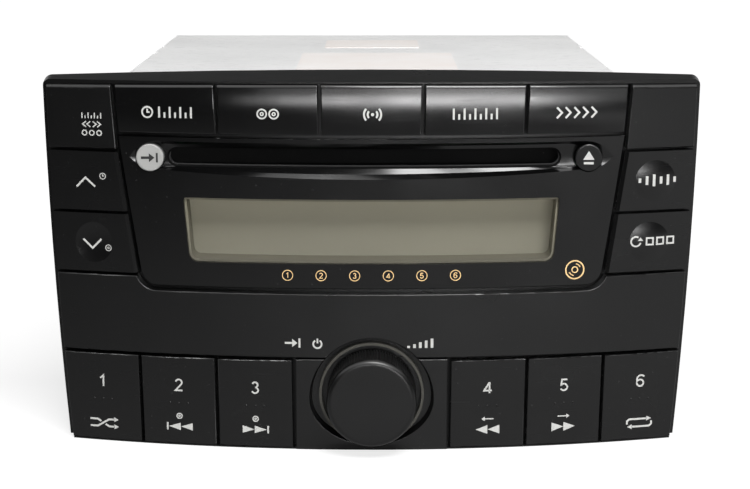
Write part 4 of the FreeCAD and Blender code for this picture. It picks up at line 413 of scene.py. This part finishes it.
def cells(curve):
    """A filled flat curve as small planar faces in X and Z."""
    holder = bpy.data.objects.new("outline", curve)
    bpy.context.scene.collection.objects.link(holder)
    bpy.context.view_layer.update()
    mesh = bpy.data.meshes.new_from_object(holder)
    bpy.data.objects.remove(holder)
    sheet = bmesh.new()
    sheet.from_mesh(mesh)
    bpy.data.meshes.remove(mesh)
    bmesh.ops.remove_doubles(sheet, verts=sheet.verts, dist=1e-4)
    for axis in range(2):
        low = min(vertex.co[axis] for vertex in sheet.verts)
        high = max(vertex.co[axis] for vertex in sheet.verts)
        normal = (1.0, 0.0, 0.0) if axis == 0 else (0.0, 1.0, 0.0)
        for i in range(math.ceil(low / INK_CELL), math.floor(high / INK_CELL) + 1):
            plane = tuple(component * i * INK_CELL for component in normal)
            parts = sheet.verts[:] + sheet.edges[:] + sheet.faces[:]
            bmesh.ops.bisect_plane(sheet, geom=parts, plane_co=plane, plane_no=normal, dist=1e-4)
    bmesh.ops.recalc_face_normals(sheet, faces=sheet.faces)
    sheet.verts.index_update()
    points = [(vertex.co.x, vertex.co.y) for vertex in sheet.verts]
    faces = []
    for face in sheet.faces:
        loop = [vertex.index for vertex in face.verts]
        area = sum(points[a][0] * points[b][1] - points[b][0] * points[a][1]
                   for a, b in zip(loop, loop[1:] + loop[:1]))
        faces.append(loop if area > 0 else loop[::-1])
    sheet.free()
    return points, faces


class Carrier:
    """The surface of a CAD node, as seen from the front."""

    def __init__(self, node):
        mesh = NODES[node].data
        mesh.calc_loop_triangles()
        self.tree = BVHTree.FromPolygons([vertex.co for vertex in mesh.vertices],
                                         [tuple(loop.vertices) for loop in mesh.loop_triangles])

    def depth(self, x, z):
        """y of the surface at x, z in metres; a point just past its edge takes the nearest surface."""
        hit = self.tree.ray_cast(Vector((x, -1.0, z)), Vector((0, 1, 0)))[0]
        if hit is None:
            hit = self.tree.find_nearest(Vector((x, -0.1, z)))[0]
        return hit.y


# Surfaces that are prepared already, by node
CARRIERS = {}


def carrier(node):
    if node not in CARRIERS:
        CARRIERS[node] = Carrier(node)
    return CARRIERS[node]


def print_on(name, node, body, parts, material):
    """One printed mark: thin closed plates laid onto a node's front, riding with its body."""
    surface = carrier(node)
    vertices = []
    faces = []
    for points, loops in parts:
        first = len(vertices)
        count = len(points)
        deep = [surface.depth(x * MM, z * MM) for x, z in points]
        vertices += [(x * MM, y - INK_PROUD, z * MM) for (x, z), y in zip(points, deep)]
        vertices += [(x * MM, y + INK_SUNK, z * MM) for (x, z), y in zip(points, deep)]
        uses = {}
        for loop in loops:
            faces.append([first + i for i in loop])
            faces.append([first + count + i for i in reversed(loop)])
            for a, b in zip(loop, loop[1:] + loop[:1]):
                uses[(a, b)] = True
        for a, b in uses:
            if (b, a) not in uses:
                faces.append([first + a, first + count + a, first + count + b, first + b])
    mesh = bpy.data.meshes.new(name)
    mesh.from_pydata(vertices, [], faces)
    mesh.validate()
    mark = bpy.data.objects.new(name, mesh)
    bpy.context.scene.collection.objects.link(mark)
    mesh.materials.append(material)
    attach(mark, body)


# Middle lines of plain numerals, in a box one high
NUMERAL_LINES = {
    1: [[(0.12, 0.76), (0.40, 1.0), (0.40, 0.0)]],
    2: [arc_points(0.34, 0.72, 0.28, 165, -28) + [(0.04, 0.0), (0.66, 0.0)]],
    3: [arc_points(0.33, 0.765, 0.235, 160, -90), arc_points(0.33, 0.27, 0.27, 90, -160)],
    4: [[(0.70, 0.24), (0.02, 0.24), (0.50, 1.0)], [(0.50, 1.0), (0.50, 0.0)]],
    5: [[(0.62, 1.0), (0.14, 1.0), (0.08, 0.52)] + arc_points(0.32, 0.31, 0.30, 125, -155)],
    6: [arc_points(0.34, 0.30, 0.30, 0, 360), arc_points(0.42, 0.63, 0.37, 40, 180) + [(0.04, 0.30)]],
}
NUMERAL_MIDDLE = (0.35, 0.5)


def numeral(number, x, z, height, width):
    """A plain numeral of one height and line width, centred on (x, z), as one part for each stroke."""
    scale = height - width
    parts = []
    for stroke in NUMERAL_LINES[number]:
        points = [(x + (px - NUMERAL_MIDDLE[0]) * scale, z + (pz - NUMERAL_MIDDLE[1]) * scale)
                  for px, pz in stroke]
        parts.append(flat_mesh(line(points, width)))
    return parts


def centre_x(node):
    low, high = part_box(node)
    return (low.x + high.x) / 2 / MM


# Icons, each centred on (x, z)


def clock_icon(x, z, radius, width):
    return (ring(x, z, radius, width)
            + line([(x, z + radius * 0.62), (x, z), (x + radius * 0.48, z)], width))


def disc_icon(x, z, radius, width):
    return ring(x, z, radius, width) + ring(x, z, radius * 0.32, width * 0.8)


def waves_icon(x, z, width):
    """A dot that sends waves out to both sides."""
    shapes = [disc_loop(x, z, 0.55)]
    for radius in (1.7, 3.0):
        for middle in (0, 180):
            shapes += line(arc_points(x, z, radius, middle - 42, middle + 42), width)
    return shapes


def scale_icon(x, z, ticks, pitch, low, high, width):
    """A row of long and short ticks that stand on one line."""
    shapes = []
    for i in range(ticks):
        place = x + (i - (ticks - 1) / 2) * pitch
        top = low + (high - low) * (1.0 if i % 2 == 0 else 0.5)
        shapes += bar(place - width / 2, place + width / 2, z + low, z + top)
    return shapes


def chevrons_icon(x, z, count, pitch, reach, half, width):
    """Chevrons in a row that point along X; a negative reach turns them round."""
    shapes = []
    for i in range(count):
        place = x + (i - (count - 1) / 2) * pitch
        shapes += line([(place - reach / 2, z + half), (place + reach / 2, z), (place - reach / 2, z - half)],
                       width)
    return shapes


def arrow_icon(x0, x1, z, head, half, width):
    """A solid arrow from x0 to x1."""
    turn = 1 if x1 > x0 else -1
    neck = x1 - turn * head
    return [[(x0, z + width / 2), (neck, z + width / 2), (neck, z + half), (x1, z),
             (neck, z - half), (neck, z - width / 2), (x0, z - width / 2)]]


def loop_icon(x, z, radius, width):
    """A line that runs nearly full circle into an arrowhead."""
    shapes = line(arc_points(x, z, radius, 60, 345), width)
    tip = radius * 0.95
    shapes += [[(x + tip - 0.95, z + 0.25), (x + tip + 0.95, z + 0.25), (x + tip, z + 1.5)]]
    return shapes


def boxes_icon(x, z, count, pitch, half, width):
    """A row of small square frames."""
    shapes = []
    for i in range(count):
        place = x + (i - (count - 1) / 2) * pitch
        shapes += bar(place - half, place + half, z - half, z + half)
        inner = half - width
        shapes += bar(place - inner, place + inner, z - inner, z + inner)
    return shapes


def bars_icon(x, z, heights, pitch, width, from_foot=False):
    """Upright bars, centred on z, or standing on z."""
    shapes = []
    for i, height in enumerate(heights):
        place = x + (i - (len(heights) - 1) / 2) * pitch
        low = z if from_foot else z - height / 2
        shapes += bar(place - width / 2, place + width / 2, low, low + height)
    return shapes


def power_icon(x, z, radius, width):
    shapes = line(arc_points(x, z, radius, 122, 418), width)
    return shapes + bar(x - width / 2, x + width / 2, z + radius * 0.2, z + radius * 1.35)


def skip_icon(x, z, turn, half_width, half, stop):
    """Two solid arrowheads in a row, pointing right with turn +1, and a bar at the end if it stops."""
    length = (2 * half_width - (0.75 if stop else 0.0)) / 2
    start = x - turn * half_width
    shapes = []
    for i in range(2):
        base = start + turn * i * length
        shapes += triangle(base + turn * (length - 0.08), base, z, half)
    if stop:
        end = x + turn * half_width
        shapes += bar(min(end, end - turn * 0.6), max(end, end - turn * 0.6), z - half, z + half)
    return shapes


def shuffle_icon(x, z, width):
    """Two lines that cross over, one broken where the other passes."""
    rise = 1.35
    shapes = line([(x - 5.2, z - rise), (x - 2.4, z - rise), (x + 1.9, z + rise), (x + 3.7, z + rise)], width)
    shapes += line([(x - 5.2, z + rise), (x - 2.4, z + rise), (x - 1.05, z + 0.5)], width)
    shapes += line([(x + 0.55, z - 0.5), (x + 1.9, z - rise), (x + 3.7, z - rise)], width)
    for side in (-1, 1):
        shapes += triangle(x + 5.5, x + 3.85, z + side * rise, 0.95)
    return shapes


def repeat_icon(x, z, width):
    """Two lines that chase each other round a flat loop."""
    shapes = []
    for turn in (-1, 1):
        shapes += line([(x - turn * 4.6, z - turn * 0.45), (x - turn * 4.6, z + turn * 0.75),
                        (x - turn * 3.8, z + turn * 1.45), (x + turn * 2.6, z + turn * 1.45)], width)
        shapes += triangle(x + turn * 4.5, x + turn * 2.75, z + turn * 1.45, 0.95)
    return shapes


# Heights of the marks over the table, and their sizes and line widths, in millimetres
TOP_MARK_Z = 122.4
ROUND_KEY_Z = 105.9
NUMERAL_Z = 22.9
NUMERAL_HEIGHT = 4.7
NUMERAL_STROKE = 0.6
LOWER_MARK_Z = 7.2
SMALL_MARK_Z = 11.2
LINE = 0.70
FINE = 0.42

# The numbered rings below the window, one for each tray, in millimetres
TRAY_COUNT = 6
TRAY_PITCH = 12.0
TRAY_MARK_Z = 64.3
TRAY_RING_RADIUS = 1.85
TRAY_NUMERAL_HEIGHT = 2.1
TRAY_LINE = 0.28


def print_top_row(white):
    icons = [
        clock_icon(-79.2, TOP_MARK_Z, 1.85, 0.6) + scale_icon(-69.2, TOP_MARK_Z, 7, 1.9, -1.9, 2.0, LINE),
        disc_icon(-38.4, TOP_MARK_Z, 1.6, 0.55) + disc_icon(-34.2, TOP_MARK_Z, 1.6, 0.55),
        waves_icon(0.4, TOP_MARK_Z, LINE),
        scale_icon(36.4, TOP_MARK_Z, 9, 1.9, -1.9, 2.0, LINE),
        chevrons_icon(72.4, TOP_MARK_Z, 5, 3.1, 1.8, 1.9, LINE),
    ]
    for i, icon in enumerate(icons):
        key = f"top_key_{i + 1}"
        print_on(f"{key}_mark", key, key, [flat_mesh(icon)], white)
    rows = (scale_icon(-99.7, 120.6, 7, 1.15, -1.0, 1.0, FINE)
            + chevrons_icon(-101.6, 117.5, 2, 1.6, -1.3, 1.0, FINE)
            + chevrons_icon(-97.8, 117.5, 2, 1.6, 1.3, 1.0, FINE))
    for place in (-102.4, -99.7, -97.0):
        rows += ring(place, 114.4, 0.85, FINE)
    print_on("left_block_mark", "front_bezel", "root", [flat_mesh(rows)], white)


def print_side_keys(white):
    up = line([(-106.0, 94.8), (-102.6, 98.2), (-99.1, 95.0)], LINE) + clock_icon(-96.2, 98.9, 1.05, 0.3)
    down = line([(-104.2, 75.6), (-100.9, 72.3), (-97.5, 75.7)], LINE) + disc_icon(-94.9, 72.7, 1.05, 0.3)
    tone = bars_icon(102.5, 97.3, (1.6, 3.2, 4.3, 2.6, 3.8, 2.0), 2.6, 1.0)
    store = loop_icon(95.2, 75.1, 1.75, 0.6) + boxes_icon(104.2, 75.1, 3, 3.9, 1.5, 0.6)
    for key, icon in (("left_upper_key", up), ("left_lower_key", down),
                      ("right_upper_key", tone), ("right_lower_key", store)):
        print_on(f"{key}_mark", key, key, [flat_mesh(icon)], white)


def print_round_keys(white, dark):
    x = centre_x("load_key")
    z = ROUND_KEY_Z
    arrow = arrow_icon(x - 3.1, x + 1.7, z, 2.0, 1.6, 0.9) + bar(x + 2.2, x + 2.9, z - 1.7, z + 1.7)
    print_on("load_key_mark", "load_key", "load_key", [flat_mesh(arrow)], dark)
    x = centre_x("eject_key")
    lift = [[(x, z + 2.45), (x - 2.0, z - 0.7), (x + 2.0, z - 0.7)]]
    lift += bar(x - 1.75, x + 1.75, z - 2.35, z - 1.5)
    print_on("eject_key_mark", "eject_key", "eject_key", [flat_mesh(lift)], white)


def print_panel(gold):
    """Numbered rings, one for each tray, and a plain disc."""
    parts = []
    for i in range(TRAY_COUNT):
        x = (i - (TRAY_COUNT - 1) / 2) * TRAY_PITCH
        parts.append(flat_mesh(ring(x, TRAY_MARK_Z, TRAY_RING_RADIUS, TRAY_LINE)))
        parts += numeral(i + 1, x, TRAY_MARK_Z, TRAY_NUMERAL_HEIGHT, TRAY_LINE)
    print_on("tray_numbers", "display_panel", "root", parts, gold)
    x, z = 73.2, 65.2
    disc = ring(x, z, 3.3, 0.5) + ring(x, z, 1.05, 0.4)
    for start in (25, 205):
        disc += line(arc_points(x, z, 2.15, start, start + 55), 0.35)
    print_on("disc_mark", "display_panel", "root", [flat_mesh(disc)], gold)


def print_band(white):
    push = arrow_icon(-31.1, -26.6, 39.9, 1.9, 1.5, 0.7) + bar(-26.2, -25.5, 38.2, 41.6)
    power = power_icon(-19.4, 39.6, 1.5, 0.6)
    volume = bars_icon(17.5, 38.2, (0.8, 1.4, 2.1, 2.7, 3.4), 2.1, 1.0, from_foot=True)
    print_on("band_marks", "front_bezel", "root", [flat_mesh(push + power + volume)], white)


def print_presets(white):
    lower = [
        lambda x: shuffle_icon(x, LOWER_MARK_Z - 0.3, LINE),
        lambda x: skip_icon(x, LOWER_MARK_Z, -1, 4.8, 1.4, True) + disc_icon(x, SMALL_MARK_Z, 0.95, FINE),
        lambda x: skip_icon(x, LOWER_MARK_Z, 1, 4.8, 1.4, True) + disc_icon(x, SMALL_MARK_Z, 0.95, FINE),
        lambda x: skip_icon(x, LOWER_MARK_Z, -1, 4.4, 1.65, False)
        + arrow_icon(x + 2.2, x - 2.2, SMALL_MARK_Z, 1.2, 0.85, FINE),
        lambda x: skip_icon(x, LOWER_MARK_Z, 1, 4.4, 1.65, False)
        + arrow_icon(x - 2.2, x + 2.2, SMALL_MARK_Z, 1.2, 0.85, FINE),
        lambda x: repeat_icon(x, LOWER_MARK_Z - 0.3, LINE),
    ]
    for i, icon in enumerate(lower):
        key = f"preset_key_{i + 1}"
        x = centre_x(key)
        parts = numeral(i + 1, x, NUMERAL_Z, NUMERAL_HEIGHT, NUMERAL_STROKE) + [flat_mesh(icon(x))]
        print_on(f"{key}_mark", key, key, parts, white)


# Touch dots on the preset keys, in millimetres
DOT_RADIUS = 0.42
DOT_HEIGHT = 0.3
DOT_PITCH = 3.3
DOT_Z = 16.1
DOT_STEPS = 16
DOT_RINGS = 4


def touch_dots(material):
    """Three small domes moulded on each preset key, to find it by touch."""
    for i in range(6):
        key = f"preset_key_{i + 1}"
        surface = carrier(key)
        middle = centre_x(key)
        vertices = []
        faces = []
        for place in (-1, 0, 1):
            x = (middle + place * DOT_PITCH) * MM
            z = DOT_Z * MM
            foot = surface.depth(x, z) + INK_SUNK
            first = len(vertices)
            for ring_index in range(DOT_RINGS):
                lift = math.radians(90 * ring_index / DOT_RINGS)
                for step in range(DOT_STEPS):
                    turn = math.tau * step / DOT_STEPS
                    reach = DOT_RADIUS * MM * math.cos(lift)
                    vertices.append((x + reach * math.cos(turn), foot - DOT_HEIGHT * MM * math.sin(lift),
                                     z + reach * math.sin(turn)))
            vertices.append((x, foot - DOT_HEIGHT * MM, z))
            faces.append([first + step for step in reversed(range(DOT_STEPS))])
            for ring_index in range(DOT_RINGS - 1):
                for step in range(DOT_STEPS):
                    a = first + ring_index * DOT_STEPS + step
                    b = first + ring_index * DOT_STEPS + (step + 1) % DOT_STEPS
                    faces.append([a, b, b + DOT_STEPS, a + DOT_STEPS])
            crown = first + (DOT_RINGS - 1) * DOT_STEPS
            for step in range(DOT_STEPS):
                faces.append([crown + step, crown + (step + 1) % DOT_STEPS, first + DOT_RINGS * DOT_STEPS])
        dots = mesh_piece(f"{key}_dots", vertices, faces, material)
        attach(dots, key)


def mesh_piece(name, vertices, faces, material):
    """A smooth-shaded mesh object with its normals turned outwards and its corners kept crisp."""
    mesh = bpy.data.meshes.new(name)
    mesh.from_pydata(vertices, [], faces)
    shape = bmesh.new()
    shape.from_mesh(mesh)
    bmesh.ops.recalc_face_normals(shape, faces=shape.faces)
    shape.to_mesh(mesh)
    shape.free()
    mesh.shade_smooth()
    mesh.set_sharp_from_angle(angle=math.radians(CORNER_DEG))
    mesh.materials.append(material)
    piece = bpy.data.objects.new(name, mesh)
    bpy.context.scene.collection.objects.link(piece)
    return piece


# Knob, in millimetres; RIB_SHAPE is the share of a rib's depth at each step across one rib
KNOB_FRONT_RINGS = (5.0, 10.0)
KNOB_FRONT_MARGIN = 0.4
KNOB_BEVEL = 1.8
KNOB_BEVEL_STEPS = 6
KNOB_EDGE = 0.25
KNOB_CORNER = 0.6
KNOB_WALL = 1.8
KNOB_CROWN = 2.6
KNOB_HUB_RADIUS = 5.5
KNOB_BORE_RADIUS = 3.05
KNOB_BORE_FLOOR = 4.6
KNOB_HUB_STEP = 1.0
RIB_COUNT = 96
RIB_DEPTH = 0.38
RIB_SHAPE = (0.0, 0.0, 1.0, 1.0)
RIB_START = 2.6
RIB_FADE = 0.5


def knob_profile(radius, length):
    """(radius, depth behind the front, share of rib depth) from the front's middle round to the bore."""
    rows = [(reach, 0.0, 0) for reach in (*KNOB_FRONT_RINGS, radius - KNOB_BEVEL - KNOB_FRONT_MARGIN)]
    for i in range(KNOB_BEVEL_STEPS + 1):
        angle = math.radians(90 * i / KNOB_BEVEL_STEPS)
        rows.append((radius - KNOB_BEVEL + KNOB_BEVEL * math.sin(angle),
                     KNOB_BEVEL - KNOB_BEVEL * math.cos(angle), 0))
    rows += [(radius, RIB_START - RIB_FADE, 0), (radius, RIB_START, 1),
             (radius, length - 2 * RIB_FADE, 1), (radius, length - RIB_FADE, 0),
             (radius, length - KNOB_EDGE, 0), (radius - KNOB_EDGE, length, 0),
             (radius - KNOB_WALL, length, 0), (radius - KNOB_WALL, KNOB_CROWN + KNOB_CORNER, 0),
             (radius - KNOB_WALL - KNOB_CORNER, KNOB_CROWN, 0),
             (KNOB_HUB_RADIUS + KNOB_CORNER, KNOB_CROWN, 0),
             (KNOB_HUB_RADIUS, KNOB_CROWN + KNOB_CORNER, 0),
             (KNOB_HUB_RADIUS, length - KNOB_HUB_STEP, 0),
             (KNOB_BORE_RADIUS, length - KNOB_HUB_STEP, 0), (KNOB_BORE_RADIUS, KNOB_BORE_FLOOR, 0)]
    return rows


def knurled_knob(material):
    """The volume knob, with fine ribs along its side."""
    low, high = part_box("volume_knob")
    middle = (low + high) / 2
    radius = (high.x - low.x) / 2 / MM
    length = (high.y - low.y) / MM
    steps = RIB_COUNT * len(RIB_SHAPE)
    vertices = []
    for row_radius, depth, ribbed in knob_profile(radius, length):
        for step in range(steps):
            reach = (row_radius - RIB_DEPTH * ribbed * RIB_SHAPE[step % len(RIB_SHAPE)]) * MM
            turn = math.tau * step / steps
            vertices.append((middle.x + reach * math.cos(turn), low.y + depth * MM,
                             middle.z + reach * math.sin(turn)))
    rows = len(vertices) // steps
    faces = []
    for row in range(rows - 1):
        for step in range(steps):
            a = row * steps + step
            b = row * steps + (step + 1) % steps
            faces.append([a, b, b + steps, a + steps])
    faces.append(list(range(steps)))
    faces.append([(rows - 1) * steps + step for step in reversed(range(steps))])
    knob = mesh_piece("knurled_knob", vertices, faces, material)
    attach(knob, "knob")
    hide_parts("volume_knob")


# Studio

# The room in gloss: degrees over the horizon where backdrop ends and ceiling begins, Y of the
# direction where backdrop begins and ceiling ends, and how brightly each glows
BACKDROP_DEG = (7.5, 11.0)
BACKDROP_START = (-0.10, 0.30)
BACKDROP_GLOW = 1.0
CEILING_DEG = (22.0, 40.0)
CEILING_END = (0.15, 0.50)
CEILING_GLOW = 2.3
ROOM_GLOW = 0.03

# What matt surfaces get from every side
ROOM_LEVEL = 0.30

# Table top in metres: each four numbers are the two places between which it changes, along Y or X,
# and its levels there
FLOOR_HALF = 6.0
FLOOR_WHITE = (0.0, 0.45, 1.22, 1.55)
FLOOR_SHARE = 0.40
FLOOR_COLOUR = 0.80
# Painted light and shade in the table's colour, as gloss and bounced light see it: dimmer far out in front
# and at the left, with a painted pool of light far to the right
FLOOR_NEAR = (-0.70, -0.10, 0.25, 1.0)
FLOOR_ACROSS = (-0.30, 0.25, 0.30, 0.62)
FLOOR_PAINTED_PATCH = (0.35, 0.70, 0.0, 0.75)


def camera_share(tree):
    """1 for what the camera sees, straight or through glass, and 0 for every other ray."""
    path = tree.nodes.new("ShaderNodeLightPath")
    return maths(tree, "MAXIMUM", path.outputs["Is Camera Ray"], path.outputs["Is Transmission Ray"])


def sines(degrees):
    return [math.sin(math.radians(angle)) for angle in degrees]


def room_glow(tree):
    """What gloss shows of the room: a pale low backdrop behind the object, a ceiling overhead and in
    front of it, and a faint glow from everywhere."""
    coordinates = tree.nodes.new("ShaderNodeTexCoord")
    split = tree.nodes.new("ShaderNodeSeparateXYZ")
    tree.links.new(coordinates.outputs["Generated"], split.inputs["Vector"])
    rise = split.outputs["Z"]
    low = spread(tree, rise, *sines(BACKDROP_DEG), BACKDROP_GLOW, 0.0)
    behind = spread(tree, split.outputs["Y"], *BACKDROP_START, 0.0, 1.0)
    backdrop = maths(tree, "MULTIPLY", low, behind)
    overhead = spread(tree, rise, *sines(CEILING_DEG), 0.0, CEILING_GLOW)
    ahead = spread(tree, split.outputs["Y"], *CEILING_END, 1.0, 0.0)
    ceiling = maths(tree, "MULTIPLY", overhead, ahead)
    return maths(tree, "ADD", maths(tree, "ADD", backdrop, ceiling), ROOM_GLOW)


def studio_world():
    """White to the camera, a plain level for matt surfaces, and the room for gloss."""
    world = bpy.data.worlds.new("studio")
    bpy.context.scene.world = world
    world.use_nodes = True
    tree = world.node_tree
    tree.nodes.clear()
    seen = tree.nodes.new("ShaderNodeBackground")
    seen.inputs["Color"].default_value = (1, 1, 1, 1)
    room = tree.nodes.new("ShaderNodeBackground")
    tree.links.new(room_glow(tree), room.inputs["Strength"])
    plain = tree.nodes.new("ShaderNodeBackground")
    plain.inputs["Strength"].default_value = ROOM_LEVEL
    path = tree.nodes.new("ShaderNodeLightPath")
    lit = tree.nodes.new("ShaderNodeMixShader")
    tree.links.new(path.outputs["Is Glossy Ray"], lit.inputs["Fac"])
    tree.links.new(plain.outputs[0], lit.inputs[1])
    tree.links.new(room.outputs[0], lit.inputs[2])
    mix = tree.nodes.new("ShaderNodeMixShader")
    tree.links.new(camera_share(tree), mix.inputs["Fac"])
    tree.links.new(lit.outputs[0], mix.inputs[1])
    tree.links.new(seen.outputs[0], mix.inputs[2])
    output = tree.nodes.new("ShaderNodeOutputWorld")
    tree.links.new(mix.outputs[0], output.inputs["Surface"])


def studio_floor():
    """A white table top that keeps the contact shadow. Gloss and bounced light see its colour with painted
    light and shade: dimmer, dimmest far out in front and at the left, with a painted pool of light far to the
    right."""
    half = FLOOR_HALF
    vertices = [(-half, -half, 0), (half, -half, 0), (half, half, 0), (-half, half, 0)]
    material = bpy.data.materials.new("table_top")
    material.use_nodes = True
    tree = material.node_tree
    tree.nodes.clear()
    coordinates = tree.nodes.new("ShaderNodeTexCoord")
    split = tree.nodes.new("ShaderNodeSeparateXYZ")
    tree.links.new(coordinates.outputs["Object"], split.inputs["Vector"])
    # Painted light and shade for gloss and bounced light: the table's colour by place
    near = spread(tree, split.outputs["Y"], *FLOOR_NEAR)
    across = spread(tree, split.outputs["X"], *FLOOR_ACROSS)
    painted_light_patch = spread(tree, split.outputs["X"], *FLOOR_PAINTED_PATCH)
    painted_floor_light = maths(tree, "ADD", maths(tree, "MULTIPLY", near, across), painted_light_patch)
    seen = camera_share(tree)
    shade = tree.nodes.new("ShaderNodeMix")
    shade.data_type = "RGBA"
    tree.links.new(seen, shade.inputs["Factor"])
    tree.links.new(painted_floor_light, shade.inputs["A"])
    shade.inputs["B"].default_value = (FLOOR_COLOUR, FLOOR_COLOUR, FLOOR_COLOUR, 1)
    own = tree.nodes.new("ShaderNodeBsdfDiffuse")
    tree.links.new(shade.outputs["Result"], own.inputs["Color"])
    white = tree.nodes.new("ShaderNodeEmission")
    white.inputs["Color"].default_value = (1, 1, 1, 1)
    away = maths(tree, "ABSOLUTE", split.outputs["Y"], 0.0)
    tree.links.new(spread(tree, away, *FLOOR_WHITE), white.inputs["Strength"])
    mix = tree.nodes.new("ShaderNodeMixShader")
    tree.links.new(maths(tree, "MULTIPLY", seen, 1.0 - FLOOR_SHARE), mix.inputs["Fac"])
    tree.links.new(own.outputs[0], mix.inputs[1])
    tree.links.new(white.outputs[0], mix.inputs[2])
    output = tree.nodes.new("ShaderNodeOutputMaterial")
    tree.links.new(mix.outputs[0], output.inputs["Surface"])
    mesh = bpy.data.meshes.new("table_top")
    mesh.from_pydata(vertices, [], [(0, 1, 2, 3)])
    mesh.materials.append(material)
    floor = bpy.data.objects.new("table_top", mesh)
    bpy.context.scene.collection.objects.link(floor)


def softbox(name, place, target, width, height, radiance):
    """A rectangular lamp whose face has the same brightness whatever its size."""
    light = bpy.data.lights.new(name, "AREA")
    light.shape = "RECTANGLE"
    light.size = width
    light.size_y = height
    light.energy = radiance * math.pi * width * height
    lamp = bpy.data.objects.new(name, light)
    lamp.location = place
    lamp.rotation_euler = (Vector(target) - Vector(place)).to_track_quat("-Z", "Y").to_euler()
    bpy.context.scene.collection.objects.link(lamp)


def studio_camera():
    camera = bpy.data.cameras.new("camera")
    camera.lens = CAMERA_LENS
    camera.sensor_width = CAMERA_SENSOR
    camera.clip_start, camera.clip_end = CAMERA_CLIP
    stand = bpy.data.objects.new("camera", camera)
    stand.location = (CAMERA_X, CAMERA_Y, CAMERA_Z)
    stand.rotation_euler = (math.radians(90.0 - CAMERA_DOWN_DEG), 0.0, 0.0)
    bpy.context.scene.collection.objects.link(stand)
    bpy.context.scene.camera = stand


def studio():
    bpy.context.scene.view_settings.view_transform = "Standard"
    studio_camera()
    studio_world()
    studio_floor()
    ahead = Vector((0.0, 1.0, 0.0))
    for name, place, width, height, radiance in (
            ("strip_core", (0.34, -1.57, 0.215), 0.55, 0.11, 5.0),
            ("strip_inner", (0.26, -1.58, 0.215), 0.84, 0.11, 6.0),
            ("strip_outer", (0.22, -1.59, 0.215), 1.11, 0.11, 4.5),
            ("strip_spill", (0.20, -1.60, 0.215), 1.42, 0.11, 2.2),
            ("front_softbox", (0.31, -1.62, 0.290), 0.52, 0.26, 2.6),
            ("front_spill", (0.38, -1.64, 0.300), 1.62, 0.28, 1.2)):
        softbox(name, place, Vector(place) + ahead, width, height, radiance)
    softbox("top_softbox", (0.20, -0.75, 1.00), (0.02, -0.08, 0.10), 0.50, 0.50, 18.0)


slots = dress_nodes()
white_ink = ink("white_ink", WHITE_INK)
gold_ink = ink("gold_ink", GOLD_INK)
dark_ink = ink("dark_ink", DARK_INK)
print_top_row(white_ink)
print_side_keys(white_ink)
print_round_keys(white_ink, dark_ink)
print_panel(gold_ink)
print_band(white_ink)
print_presets(white_ink)
touch_dots(slots["black_plastic"])
knurled_knob(slots["black_plastic"])
studio()
